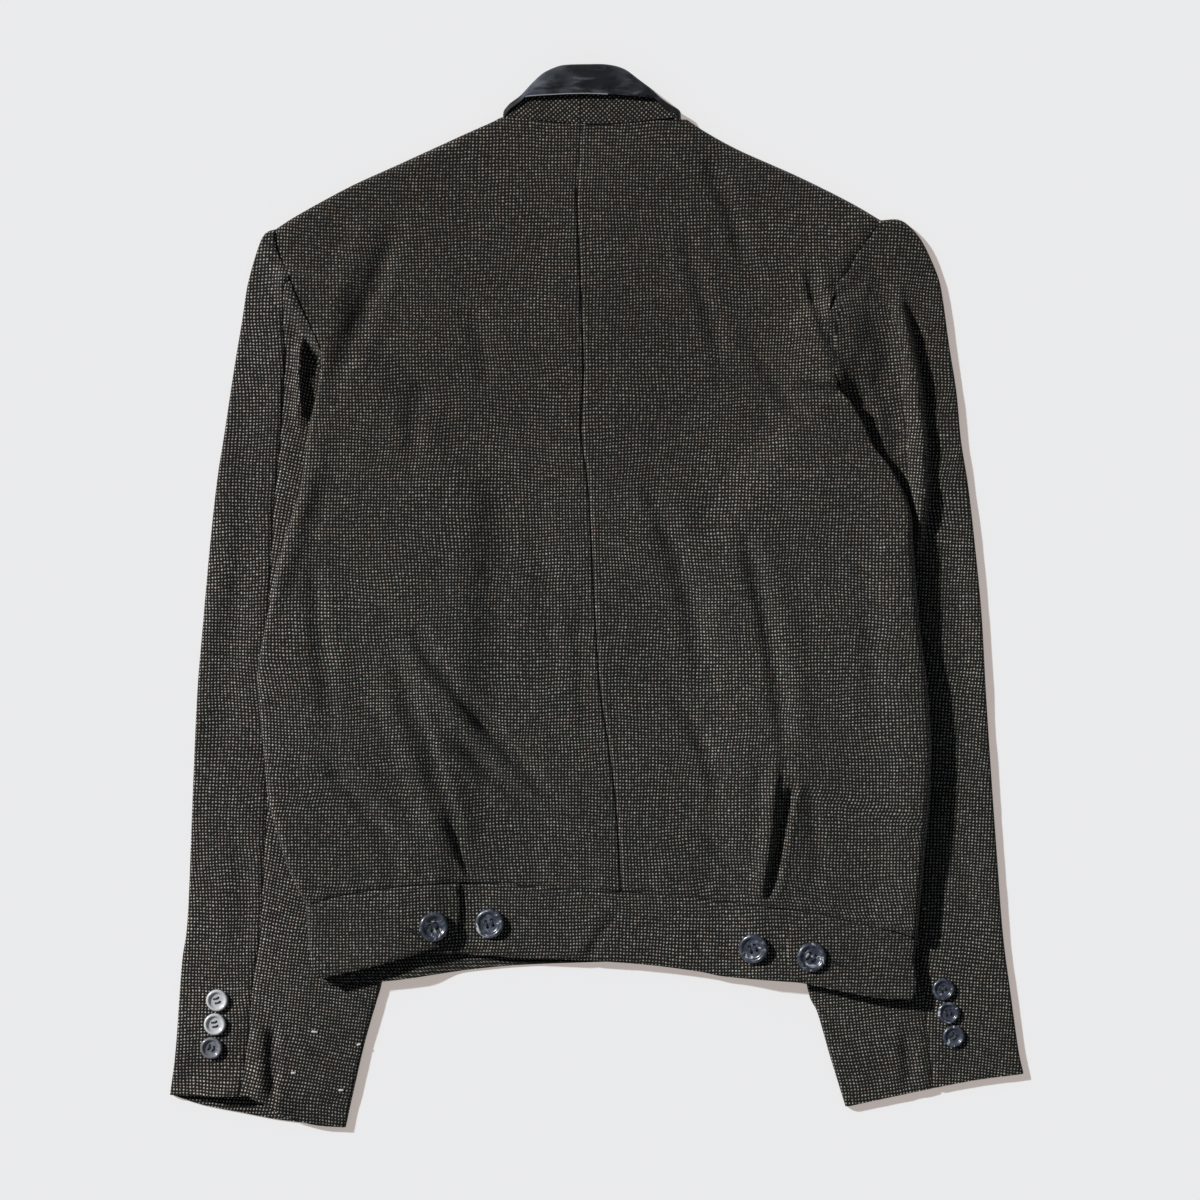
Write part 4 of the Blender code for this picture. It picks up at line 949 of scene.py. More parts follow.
def sleeve_plan(side, hem_points, v, u_rows):
    """Plan of one face of a sleeve: spread from the armhole, draped to its hem."""
    outer, inner, armhole = Path(side.sleeve_outer), Path(side.sleeve_inner), Path(side.armhole)
    hem = Path(hem_points)
    plan = np.empty(u_rows.shape + (2,))
    for i, share in enumerate(v):
        u = u_rows[i][:, None]
        bulge = armhole.at(u_rows[i] * armhole.length)
        bulge = bulge - armhole.points[0] * (1 - u) - armhole.points[-1] * u
        drape = hem.at(u_rows[i] * hem.length)
        drape = drape - hem.points[0] * (1 - u) - hem.points[-1] * u
        straight = outer.at(share * outer.length) * (1 - u) + inner.at(share * inner.length) * u
        fan = max(0.0, 1 - share * outer.length / FAN)
        plan[i] = straight + bulge * fan + drape * share ** 3
    plan[0] -= ARMHOLE_TUCK * armhole.normal(u_rows[0] * armhole.length, side.sign)
    return plan


def sleeve_height(side, upper, u_rows, reach, seam_column):
    """Height of a sleeve's upper face: its folds, its head and the seams sunk in it."""
    cut = LEFT_HEAD if side.sign < 0 else RIGHT_HEAD
    armhole = Path(side.armhole)
    head = ease(1 - reach / HEAD_RUN)[:, None] * (1 - ease((u_rows - 0.5) / 0.25))
    relief, tucked, covered = sleeve_relief(side, upper[..., 0], upper[..., 1], u_rows,
                                            reach[:, None])
    flat_top = SLEEVE_TOP + relief
    height = flat_top + (SLEEVE_HEAD_TOP - flat_top) * head - cut.dip * tucked
    # The sleeve is sewn to the body, so its top starts at the body's and rounds over from there
    line = armhole.at(u_rows[0] * armhole.length)
    sewn = topside(line[:, 0], line[:, 1]) - SEWN_BELOW
    away = np.linalg.norm(upper - upper[:1], axis=-1)
    held = 1 - ease((u_rows[0] - cut.held_to) / 0.11)[None, :]
    joined = ease(1 - away / cut.fall_off) * held * (1 - covered)
    joined = 1 - (1 - joined) ** 1.5
    height = height + np.maximum(sewn[None, :] - height, 0) * joined
    # The armhole and the hind seam are narrow sunk lines
    height = height - (sunk(cut.groove, away) + 0.5 * (away < 0.4)) * held
    from_seam = np.linalg.norm(upper - upper[:, seam_column:seam_column + 1], axis=-1)
    clear = ease(reach / 60)[:, None] if side.sign > 0 else 1.0
    past_roll = np.arange(upper.shape[1])[None, :] > 3
    return height - sunk(HIND_GROOVE, from_seam) * past_roll * clear


def sleeve_rings(side, cols_top, cols_under, rows_down):
    """Upper and lower faces of a sleeve with their inner sides, and the seam's column."""
    outer, inner, armhole = Path(side.sleeve_outer), Path(side.sleeve_inner), Path(side.armhole)
    roll, angles = roll_steps(SLEEVE_ROLL, 5)
    near = np.concatenate([HEAD_STEPS, np.linspace(6.0, 50, 17)])
    rest = np.linspace(near[-1], outer.length, rows_down)[1:]
    v = np.concatenate([near, rest]) / outer.length
    reach = v * outer.length
    width = np.linalg.norm(outer.at(reach) - inner.at(v * inner.length), axis=-1)
    width[0] = armhole.length
    seam_at = np.interp(outer.at(reach)[:, 1], *np.array(side.seam_set, float).T)
    seam_at[:len(near)] = np.minimum(seam_at[:len(near)], 0.42 * width[:len(near)])
    columns = []
    for cut, wide in zip(seam_at, width):
        near_seam = np.linspace(roll[-1], cut, cols_top + 1)[1:]
        far = np.linspace(cut, wide - roll[-1], cols_under + 1)[1:]
        columns.append(np.concatenate([roll, near_seam, far, wide - roll[-2::-1]]) / wide)
    u_rows = np.array(columns)
    seam_column = len(roll) - 1 + cols_top
    turn = np.concatenate([angles, np.full(cols_top + cols_under - 1, math.pi / 2), angles[::-1]])
    upper, lower = (sleeve_plan(side, hem, v, u_rows) for hem in (side.hem_upper, side.hem_lower))
    top_z = sleeve_height(side, upper, u_rows, reach, seam_column)
    thick = np.minimum(CLOTH_THICK, (top_z - SLEEVE_AIR) / 2)
    q, lean = np.sin(turn)[None, :], np.cos(turn)[None, :, None]
    half = len(turn) // 2
    way_outer = outer.normal(reach, side.sign)[:, None].repeat(half, 1)
    way_inner = inner.normal(v * inner.length, -side.sign)[:, None].repeat(len(turn) - half, 1)
    side_way = np.concatenate([way_outer, way_inner], 1)
    middle = np.minimum(top_z / 2, SLEEVE_TOP / 2)
    grids = []
    for plan, face, end in ((upper, 1.0, top_z), (lower, -1.0, np.zeros_like(top_z))):
        z = middle + (end - middle) * q
        skin = np.concatenate([plan, z[..., None]], -1)
        inside = np.concatenate([plan - thick[..., None] * lean * side_way,
                                 (z - face * thick * q)[..., None]], -1)
        grids.append((skin, inside))
    return grids, seam_column, len(roll) - 1


def seam_way(line, sign):
    """Half a seam gap in plan, square to a line of points and away from the body."""
    run = np.gradient(line[:, :2], axis=0)
    run = run / np.linalg.norm(run, axis=1, keepdims=True)
    way = np.stack([-run[:, 1], run[:, 0], np.zeros(len(run))], 1)
    return way * sign * (SHUT_SEAM if sign > 0 else SEAM_GAP) / 2


def sleeve(side, label, cols_top, cols_under, rows_down, turn_top, turn_under):
    """Top sleeve round the outer edge and under sleeve round the inner one."""
    grids, cut, roll_count = sleeve_rings(side, cols_top, cols_under, rows_down)
    (up, up_in), (low, low_in) = grids
    forearm = up.shape[1] - 2 * roll_count - 3

    def strip(first, second, way):
        both = np.concatenate([first, second], 1)
        both[:, 0] += seam_way(up[:, cut], side.sign) * way
        both[:, -1] += seam_way(low[:, forearm], side.sign) * way
        return both

    def top_of(above, below):
        return strip(above[:, cut:0:-1], below[:, 0:forearm + 1], 1)

    def under_of(above, below):
        return strip(above[:, cut:], below[:, :forearm - 1:-1][:, 1:], -1)

    for part, made_of, fold, turn, from_middle in (
            ("top", top_of, cut, turn_top, 260.0),
            ("under", under_of, up.shape[1] - 1 - cut, turn_under, 200.0)):
        name = f"{label}_sleeve_{part}"
        skin = made_of(up, low)
        cloth = unrolled(skin, 0, len(skin) - 1, fold=fold, turn=turn,
                         about=(side.sign * from_middle, -300.0))
        wall_mesh(name + "_cloth", skin, made_of(up_in, low_in), cloth, CLOTH,
                  name)


def strand_tube(shape, line, radius, sides=6):
    """Closed round strand along a line of points in millimetres."""
    line = np.array(line, float)
    runs = line[np.minimum(np.arange(len(line)) + 1, len(line) - 1)]
    runs = runs - line[np.maximum(np.arange(len(line)) - 1, 0)]
    rings = []
    for point, run in zip(line, runs):
        side_way = np.cross(run / np.linalg.norm(run), (0, 1, 0.3))
        side_way = side_way / np.linalg.norm(side_way)
        up = np.cross(side_way, run / np.linalg.norm(run))
        ring = []
        for angle in np.arange(sides) * 2 * math.pi / sides:
            rim = point + radius * (math.cos(angle) * side_way + math.sin(angle) * up)
            ring.append(shape.verts.new(rim * MM))
        rings.append(ring)
    for one, two in zip(rings, rings[1:]):
        for k in range(sides):
            shape.faces.new((one[k], one[(k + 1) % sides], two[(k + 1) % sides], two[k]))
    shape.faces.new(rings[0][::-1])
    shape.faces.new(rings[-1])


# Collar

def collar_columns(count_back, count_front):
    """Columns round the collar ring, each (share across, angle, upper side or not)."""
    roll, angles = roll_steps(RING_HALF, 6)
    width = Path(STAND_SEAM).length
    left = roll / width
    middle = np.linspace(left[-1], 1 - left[-1], count_back + 1)[1:-1]
    back = [(s, a, 1) for s, a in zip(left, angles)] + [(s, math.pi / 2, 1) for s in middle]
    back += [(1 - s, a, 1) for s, a in zip(left[::-1], angles[::-1])]
    front_left = [(s, a, -1) for s, a in zip(left[1:], angles[1:])]
    front_left += [(s, math.pi / 2, -1) for s in np.linspace(left[-1], 0.42, count_front + 1)[1:]]
    front_right = [(1 - s, a, face) for s, a, face in front_left]
    front_right[-1] = (0.46, math.pi / 2, -1)
    return front_left[::-1] + back + front_right


def collar_piece(name, columns, near, far, edge_more, material, first_shift=0.0,
                 last_shift=0.0):
    """Folded strip round the ring, from face offset near to offset far on the stand."""
    seam, roll_line, fall_edge = Path(STAND_SEAM), Path(ROLL_LINE), Path(FALL_EDGE)
    rise = np.array([0.0, 1.0, 0.0])
    shortest, full_length = FALL_SHORT
    parts = np.linspace(0, 1, 17)[1:]
    rows = {near: [], far: []}
    for number, (share, turn, face) in enumerate(columns):
        way_out = 1 if share > 0.5 else -1
        root = seam.at(share * seam.length)
        crest_y = roll_line.at_x(root[0])[1]
        edge_y = min(fall_edge.at_x(root[0])[1], crest_y - FALL_LEAST)
        edge_y -= FALL_END_DROP[way_out > 0] * math.cos(turn)
        if turn == math.pi / 2 and face < 0:
            root[1] -= FRONT_NECK_DROP * (1 - (2 * share - 1) ** 2)
            crest_y -= FRONT_ROLL_DROP
            edge_y -= FRONT_ROLL_DROP
        climb = crest_y - root[1]
        centre = climb - COLLAR_BEND
        short = min(1.0, max(0.25, (climb - shortest) / full_length))
        free = edge_y - root[1] + edge_more * short
        way = np.array([way_out * math.cos(turn), 0.0, face * math.sin(turn)])
        base = np.array([*root, RING_MIDDLE + face * RING_HALF * math.sin(turn)])
        base[0] += first_shift * (number == 0) + last_shift * (number == len(columns) - 1)
        reaches = centre + (free - centre) * parts
        soft = slack(np.full(len(parts), base[0] * 0.32), base[1] + reaches, 9, 9)
        # The leather bellies out below the roll and turns in at a stitched line near its edge,
        # but not at the front, where it lies on the floor
        freedom = 1.0 if face > 0 else 1 - math.sin(turn)
        belly = np.sin(math.pi * np.minimum(parts * 1.05, 1)) * short * freedom
        puffs = belly * (0.7 + 0.45 * soft)
        puffs -= sunk(FALL_STITCH, np.abs(reaches - free)) * (short > 0.9)
        opened = ease((climb - PRESSED_FROM) / PRESSED_RUN)
        close = PRESSED_SHARE + (1 - PRESSED_SHARE) * opened
        for offset, line in rows.items():
            radius = COLLAR_PIVOT - offset
            wrap = ((COLLAR_PIVOT + radius) * close - offset) / (2 * radius)
            stand = [base + rise * centre * share_up + way * offset
                     for share_up in np.linspace(0, 1, 7)]
            turned = [base + rise * (centre + radius * math.cos(angle))
                      + way * (offset + radius * (1 + math.sin(angle)) * wrap)
                      for angle in np.linspace(-math.pi / 2, math.pi / 2, 9)[1:]]
            fall = [base + rise * reach + way * ((COLLAR_PIVOT + radius + puff) * close)
                    for reach, puff in zip(reaches, puffs)]
            line.append(stand + turned + fall)
    skin, inside = np.array(rows[far]), np.array(rows[near])
    length = np.cumsum(np.linalg.norm(np.diff(skin, axis=1), axis=2), 1)
    length = np.concatenate([np.zeros((len(skin), 1)), length], 1)
    sideways = skin[..., 0] - seam.at(BACK_SEAM_SHARE * seam.length)[0]
    # Each half of the under collar is cut on the bias
    turn = math.pi / 4 * (1 if "left" in name else -1)
    cloth = np.stack([math.cos(turn) * sideways - math.sin(turn) * length,
                      math.sin(turn) * sideways + math.cos(turn) * length], -1)
    wall_mesh(name + "_piece", skin, inside, cloth, material, name)
    return skin[:, -1]


def collar():
    """Under collar in two halves, cut on the bias, and the leather collar over it."""
    columns = collar_columns(84, 14)
    on_back = [k for k in range(len(columns)) if columns[k][2] > 0]
    cut = min(on_back, key=lambda k: abs(columns[k][0] - BACK_SEAM_SHARE))
    half = SEAM_GAP / 2
    collar_piece("under_collar_left", columns[:cut + 1], 0.0, -COLLAR_CLOTH, 0.0, CLOTH,
                 last_shift=-half)
    collar_piece("under_collar_right", columns[cut:], 0.0, -COLLAR_CLOTH, 0.0, CLOTH,
                 first_shift=half)
    leather_near = -COLLAR_CLOTH - COLLAR_GAP
    edge = collar_piece("top_collar", columns, leather_near, leather_near - COLLAR_LEATHER,
                        FALL_EDGE_SHOWS, LEATHER)
    # A pale strand along the leather's lower edge, on the left half only, is a painted highlight
    # where the edge catches the light
    upper_side = np.array([column[2] > 0 for column in columns])
    lit = upper_side & (edge[:, 0] > PAINTED_HIGHLIGHT_SPAN[0]) & (edge[:, 0] < PAINTED_HIGHLIGHT_SPAN[1])
    shape = bmesh.new()
    strand_tube(shape, edge[lit] - np.array([0, 0.2, 0.25]), 0.42)
    finished("leather_edge", as_mesh("leather_edge", shape), EDGE_HIGHLIGHT_THREAD)


# Waistband

def band_relief(x, y):
    """Creases and small waves of the band."""
    return fold_relief(BAND_FOLDS, x, y) + lie(BAND_LIE, x, y)


def seam_level(x, y):
    """Top of the jacket under the band, with the waist seam's dip but no folds."""
    return (underside(x, y) + 2 * BODY_WALL + USUAL_AIR + band_relief(x, y)
            - sunk(BAND_WAIST_GROOVE, waist_y(x) - y))


def band_top(x, y):
    """Upper face of the back waistband, dipped where a tab lies over it."""
    left = 1 - ease((x - DIP_LEFT) / DIP_FADE)
    right = 1 - ease((DIP_RIGHT - x) / DIP_FADE)
    return seam_level(x, y) - TAB_SEAT * (left + right)


TAB_LOWER_EDGES = {-1: Path(TAB_LEFT_LOWER).points, 1: Path(TAB_RIGHT_LOWER).points[::-1]}


def tab_top(x, y):
    """Upper face of the tabs, whose free lower edges stand up a little."""
    lift = 0.0
    for sign, height, reach, start, run in TAB_LIFTS:
        low = TAB_LOWER_EDGES[sign]
        above = y - np.interp(x, low[:, 0], low[:, 1])
        lift = lift + height * ease(1 - above / reach) * ease(sign * (x - start) / run)
    return seam_level(x, y) + TAB_LIFT + lift


def across_band(count):
    """Shares down the band, close together at both edges."""
    t = np.linspace(0, 1, count)
    return 0.5 - 0.5 * np.cos(math.pi * t) * (0.55 + 0.45 * np.abs(np.cos(math.pi * t)))


def waistband_back():
    """Back band from side to side, its lower edge rounded over."""
    top, bottom = Path(BAND_TOP), Path(BAND_BOTTOM)
    stations = np.linspace(BAND_TOP[0][0], BAND_TOP[-1][0], 160)
    u = (stations - stations[0]) / (stations[-1] - stations[0])
    v = across_band(26)
    top_row = top.at_x(stations) - np.array([0, SEAM_GAP / 2 + 0.1])
    low_row = bottom.at_x(stations)
    side_l = top_row[0] + (low_row[0] - top_row[0]) * v[:, None]
    side_r = top_row[-1] + (low_row[-1] - top_row[-1]) * v[:, None]
    plan = coons(top_row, low_row, side_l, side_r, u, v)
    rounded = sunk(BAND_EDGE, (1 - v)[:, None] * BAND_DEPTH)
    z = band_top(plan[..., 0], plan[..., 1]) - rounded
    skin = np.concatenate([plan, z[..., None]], -1)
    inside = skin - np.array([0, 0, 1.0]) * (FOLDED_EDGE - rounded)[..., None]
    cloth = unrolled(skin, 80, 0)
    wall_mesh("waistband_back_cloth", skin, inside, cloth, CLOTH,
              "waistband_back")


def waistband_front(name, side, edge_points, lower_points, end_points, front_points):
    """Band of one front: from the centre front round the side to the tab on the back."""
    edge, lower, end = Path(edge_points), Path(lower_points), Path(end_points)
    waist, front_waist, front = Path(side.waist), Path(side.front_waist), Path(front_points)
    roll, angles = roll_steps(BODY_ROLL)
    v = across_band(26)
    tab_width = abs(end_points[0][0] - edge_points[0][0])
    near_end = tab_width - np.array([4.0, 3.0, 2.2, 1.5, 0.9, 0.4, 0.0])
    span = np.linspace(roll[-1], near_end[0], 50)[1:]
    tab_u = np.concatenate([roll, span, near_end[1:]]) / tab_width
    tab_x = edge_points[0][0] - side.sign * tab_u * tab_width
    front_width = front_waist.length
    front_u = np.concatenate([roll, np.linspace(roll[-1], front_width, 50)[1:]]) / front_width
    drop = np.array([0, SEAM_GAP + 0.2])
    seam_row = waist.at_x(tab_x) - drop
    edge_row = edge.at(v * edge.length)
    edge_row[0] = seam_row[0]
    end_row = end.at(v * end.length)
    end_row[0] = seam_row[-1]
    tab_low = lower.at_x(np.clip(tab_x, *sorted((lower.points[0, 0], lower.points[-1, 0]))))
    tab_low[0], tab_low[-1] = lower.points[0], lower.points[-1]
    tab = coons(seam_row, tab_low, edge_row, end_row, tab_u, v)
    front_top = front_waist.at(front_u * front_waist.length) - drop
    middle_x = side.front_waist[-1][0] + side.sign * SEAM_GAP / 2
    centre = np.stack([np.full(len(v), middle_x),
                       front_top[-1][1] + (front_points[-1][1] - front_top[-1][1]) * v], -1)
    front_top[0] = edge_row[0]
    front_low = front.at(front_u * front.length)
    front_top[-1] = centre[0]
    front_low[-1] = centre[-1]
    below = coons(front_top, front_low, edge_row, centre, front_u, v)
    away = edge.normal(v * edge.length, side.sign)[:, None]
    skins, insides = [], []
    for plan, u_row, face in ((tab, tab_u, 1.0), (below, front_u, -1.0)):
        turn = np.concatenate([angles, np.full(len(u_row) - len(angles), math.pi / 2)])
        q, lean = np.sin(turn)[None, :], np.cos(turn)[None, :, None]
        x, y = plan[..., 0], plan[..., 1]
        low = underside(x, y)
        middle = low + (2 * BODY_WALL + USUAL_AIR + TAB_LIFT) / 2
        from_edge = np.minimum(((1 - v) * TAB_DEPTH)[:, None], ((1 - u_row) * tab_width)[None, :])
        rounded = sunk(TAB_ROUNDING, from_edge) * (face > 0)
        target = tab_top(x, y) - rounded if face > 0 else low
        z = middle + (target - middle) * q
        thick = FOLDED_EDGE - rounded
        skins.append(np.concatenate([plan, z[..., None]], -1))
        insides.append(np.concatenate([plan - thick[..., None] * lean * away,
                                       (z - face * thick * q)[..., None]], -1))
    skin = np.concatenate([skins[1][:, :0:-1], skins[0]], 1)
    inside = np.concatenate([insides[1][:, :0:-1], insides[0]], 1)
    turned = skin[:, ::-1]
    cloth = unrolled(turned, 0, 0, fold=len(tab_u) - 1)[:, ::-1]
    wall_mesh(name + "_cloth", skin, inside, cloth, CLOTH, name)


# Buttons and sewing

def turned_button(size):
    """Mesh of one four-hole button at the origin, standing on its back."""
    diameter, height = size
    r = diameter / 2
    profile = [(0, 0.50), (0.30, 0.50), (0.50, 0.52), (0.60, 0.57), (0.66, 0.66), (0.70, 0.80),
               (0.74, 0.92), (0.79, 0.99), (0.84, 1.0), (0.90, 0.95), (0.95, 0.84), (0.985, 0.66),
               (1.0, 0.46), (0.98, 0.26), (0.92, 0.10), (0.82, 0.0), (0, 0)]
    count = 48
    angle = np.linspace(0, 2 * math.pi, count, endpoint=False)
    points, faces = [(0, 0, profile[0][1] * height)], []
    for px, pz in profile[1:-1]:
        points += [(px * r * math.cos(a), px * r * math.sin(a), pz * height) for a in angle]
    points.append((0, 0, 0))
    last = len(points) - 1
    for k in range(count):
        following = (k + 1) % count
        faces.append((0, 1 + k, 1 + following))
        for ring in range(len(profile) - 3):
            a, b = 1 + ring * count, 1 + (ring + 1) * count
            faces.append((a + k, b + k, b + following, a + following))
        a = 1 + (len(profile) - 3) * count
        faces.append((a + k, last, a + following))
    mesh = bpy.data.meshes.new("button")
    mesh.from_pydata((np.array(points) * MM).tolist(), [], faces)
    body = placed("button", mesh)
    drill = bmesh.new()
    gap, hole = r * HOLE_GAP, r * HOLE_RADIUS * MM
    for sx, sy in ((1, 1), (-1, 1), (-1, -1), (1, -1)):
        made = bmesh.ops.create_cone(drill, cap_ends=True, segments=16, radius1=hole,
                                     radius2=hole, depth=height * 3 * MM)
        bmesh.ops.translate(drill, verts=made["verts"], vec=Vector((sx * gap, sy * gap, 0)) * MM)
    holes = placed("holes", as_mesh("holes", drill))
    cutter = body.modifiers.new("holes", "BOOLEAN")
    cutter.operation = "DIFFERENCE"
    cutter.solver = "EXACT"
    cutter.object = holes
    result = evaluated_mesh(body)
    bpy.data.objects.remove(holes)
    return result


def slope_at(surface, x, y):
    """Height and slopes of a surface at one point, averaged over a button's seat."""
    step = 5.0
    xs = np.array([x, x - step, x + step, x, x])
    ys = np.array([y, y, y, y - step, y + step])
    z = surface(xs, ys)
    return float(z.max()), float(z[2] - z[1]) / (2 * step), float(z[4] - z[3]) / (2 * step)


def place_button(name, master, size, x, y, surface, turn, pull, material):
    """One button on its seat, with its thread through the holes."""
    height, slope_x, slope_y = slope_at(surface, x, y)
    normal = Vector((-slope_x, -slope_y, 1)).normalized()
    seat = normal.to_track_quat("Z", "Y").to_matrix().to_4x4() @ Matrix.Rotation(turn, 4, "Z")
    seat.translation = Vector((x, y, height + 0.1)) * MM
    mesh = master.copy()
    mesh.transform(seat)
    piece = finished(name + "_turned", mesh, material)
    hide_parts(name)
    gap, thick = size[0] / 2 * HOLE_GAP, size[1]
    strands = bmesh.new()
    for bar in (-gap, gap):
        for strand in (-1, 0, 1):
            beside, crest = bar + strand * STRAND_PITCH, bar + strand * CREST_PITCH
            line = [(-gap, beside, thick * 0.35), (-gap * 0.8, beside, thick * 0.60),
                    (0, crest, thick * 0.66 + 0.1 * pull),
                    (gap * 0.8, beside, thick * 0.60), (gap, beside, thick * 0.35)]
            strand_tube(strands, line, STRAND_RADIUS)
    thread_mesh = as_mesh(name + "_thread", strands)
    thread_mesh.transform(seat)
    finished(name + "_thread", thread_mesh, NAVY_THREAD)


def stitch_tree():
    """Geometry nodes that set short thread stitches along a line."""
    tree = bpy.data.node_groups.new("stitches_along", "GeometryNodeTree")
    face = tree.interface
    face.new_socket("Line", in_out="INPUT", socket_type="NodeSocketGeometry")
    for name, value in (("Spacing", 0.003), ("Length", 0.0022), ("Width", 0.0006),
                        ("Turn", 0.0), ("Uneven", 0.1)):
        socket = face.new_socket(name, in_out="INPUT", socket_type="NodeSocketFloat")
        socket.default_value = value
    face.new_socket("Thread", in_out="INPUT", socket_type="NodeSocketMaterial")
    face.new_socket("Stitches", in_out="OUTPUT", socket_type="NodeSocketGeometry")
    inputs, result = tree.nodes.new("NodeGroupInput"), tree.nodes.new("NodeGroupOutput")
    given = {socket.name: Wire(tree, socket) for socket in inputs.outputs}
    curve = node(tree, "GeometryNodeMeshToCurve", None, {"Mesh": given["Line"]})
    evenly = node(tree, "GeometryNodeResampleCurve", {"mode": "LENGTH"},
                  {"Curve": curve, "Length": given["Spacing"]})
    points = node(tree, "GeometryNodeCurveToPoints", {"mode": "EVALUATED"}, {"Curve": evenly})
    ahead = Wire(tree, points.socket.node.outputs["Rotation"])
    strand = node(tree, "GeometryNodeMeshUVSphere", None,
                  {"Segments": 8, "Rings": 6, "Radius": 0.5})
    less, more = given["Uneven"] * -1.0, given["Uneven"]
    low, high = (node(tree, "ShaderNodeCombineXYZ", None, {0: end, 1: end, 2: end})
                 for end in (less, more))
    chance = node(tree, "FunctionNodeRandomValue", {"data_type": "FLOAT_VECTOR"},
                  {"Seed": 4, "Min": low, "Max": high})
    size = node(tree, "ShaderNodeCombineXYZ", None,
                {0: given["Width"], 1: given["Width"], 2: given["Length"]})
    grown = node(tree, "ShaderNodeVectorMath", {"operation": "MULTIPLY_ADD"},
                 {0: size, 1: chance, 2: size})
    set_down = node(tree, "GeometryNodeInstanceOnPoints", None,
                    {"Points": points, "Instance": strand, "Rotation": ahead, "Scale": grown})
    spin = node(tree, "ShaderNodeCombineXYZ", None, {0: given["Turn"]})
    turned = node(tree, "GeometryNodeRotateInstances", None,
                  {"Instances": set_down, "Rotation": spin})
    real = node(tree, "GeometryNodeRealizeInstances", None, {0: turned})
    finish = node(tree, "GeometryNodeSetMaterial", None,
                  {"Geometry": real, "Material": given["Thread"]})
    tree.links.new(finish.socket, result.inputs[0])
    return tree


STITCHES = stitch_tree()


def stitches(name, lines, spacing, length, width, material, slot, turn=0.0, uneven=0.12):
    """One piece of stitches along lines of points in millimetres."""
    points, edges = [], []
    for line in lines:
        first = len(points)
        points += [tuple(p) for p in np.array(line) * MM]
        edges += [(k, k + 1) for k in range(first, len(points) - 1)]
    mesh = bpy.data.meshes.new(name + "_line")
    mesh.from_pydata(points, edges, [])
    carrier = placed(name + "_line", mesh)
    sewn = carrier.modifiers.new("stitches", "NODES")
    sewn.node_group = STITCHES
    wanted = {"Spacing": spacing * MM, "Length": length * MM, "Width": width * MM, "Turn": turn,
              "Uneven": uneven, "Thread": material}
    for item in STITCHES.interface.items_tree:
        if item.item_type == "SOCKET" and item.name in wanted:
            sewn[item.identifier] = wanted[item.name]
    finished(name, evaluated_mesh(carrier), material)


def on_surface(surface, line, lift):
    """A plan line laid on a surface."""
    line = np.array(line, float)
    return np.concatenate([line, (surface(line[:, 0], line[:, 1]) + lift)[:, None]], 1)


def sampled(points, step=3.0, start=0.0, stop=0.0, shift=0.0):
    """Plan points along a path, inset square to it by shift."""
    path = Path(points)
    along = np.linspace(start, path.length - stop, max(3, int((path.length - start - stop) / step)))
    return path.at(along) + shift * path.normal(along, 1)


def cuff_top(x, y):
    """Height of a sleeve's upper face, for what lies on it."""
    return SLEEVE_TOP + sleeve_lie(x, y)


def beside_waist(start, stop, below):
    """Plan points along the waist seam, this much below it."""
    return [(x, waist_y(np.array([x]))[0] - below) for x in np.arange(start, stop, 3.0)]


def topstitching():
    """Dark stitches beside the centre seam and the waist seam and round the tabs."""
    seam = sampled(CENTRE_SEAM, 3.0, 4, 2, -CENTRE_INSET)
    on_band = [beside_waist(-84, 122, BAND_INSET), sampled(BAND_BOTTOM, 3.0, 90, 96, EDGE_INSET)]
    on_tabs = [sampled(TAB_LEFT_LOWER, 3.0, 4, 0, EDGE_INSET),
               sampled(TAB_LEFT_END, 2.0, 2, 0, -EDGE_INSET),
               sampled(TAB_RIGHT_LOWER, 3.0, 4, 0, -EDGE_INSET),
               sampled(TAB_RIGHT_END, 2.0, 2, 0, EDGE_INSET),
               beside_waist(-190, -98, BAND_INSET), beside_waist(134, 210, BAND_INSET)]
    lines = [on_surface(band_top, line, 0.05) for line in on_band]
    lines += [on_surface(tab_top, line, 0.05) for line in on_tabs]
    above = beside_waist(-190, 208, -ABOVE_WAIST)
    for name, run, measures in (
            ("centre_back_topstitch", [on_surface(topside, seam, 0.02)], TOPSTITCH),
            ("waistband_topstitch", lines, TOPSTITCH),
            ("waist_seam_stitch", [on_surface(topside, above, 0.0)], SEAM_STITCH)):
        stitches(name, run, *measures, DARK_THREAD, "nailhead_tweed")


def buttonholes():
    """Worked edges of the holes beside the tabs' buttons."""
    for label, (x, y, way) in BUTTONHOLES.items():
        run = HOLE_HALF_LENGTH * np.linspace(-1, 1, 13)
        centre_line = np.stack([x + run * math.cos(way), y + run * math.sin(way)], 1)
        square = np.array([-math.sin(way), math.cos(way)])
        loops = [on_surface(tab_top, centre_line + square * gap, 0.12)
                 for gap in (-HOLE_HALF_WIDTH, HOLE_HALF_WIDTH)]
        stitches(f"{label}_buttonhole", loops, *HOLE_STITCH, NAVY_THREAD, "nailhead_tweed",
                 turn=math.pi / 2, uneven=0.2)


def loose_threads():
    """Basting left in the left cuff and two thread ends on the right sleeve, all one piece."""
    shape = bmesh.new()
    for places, steps, lift, crest, radius in ((BASTING, 7, 0.25, 0.30, 0.8),
                                               (THREAD_ENDS, 5, 0.2, 0.0, 0.25)):
        for x, y, length, tilt in places:
            run = np.linspace(-0.5, 0.5, steps)
            line = np.stack([x + run * length, y + run * length * tilt], 1)
            laid = on_surface(cuff_top, line, lift)
            laid[:, 2] += crest * (1 - (2 * run) ** 2)
            strand_tube(shape, laid, radius)
    finished("basting_threads", as_mesh("basting_threads", shape), WHITE_THREAD)


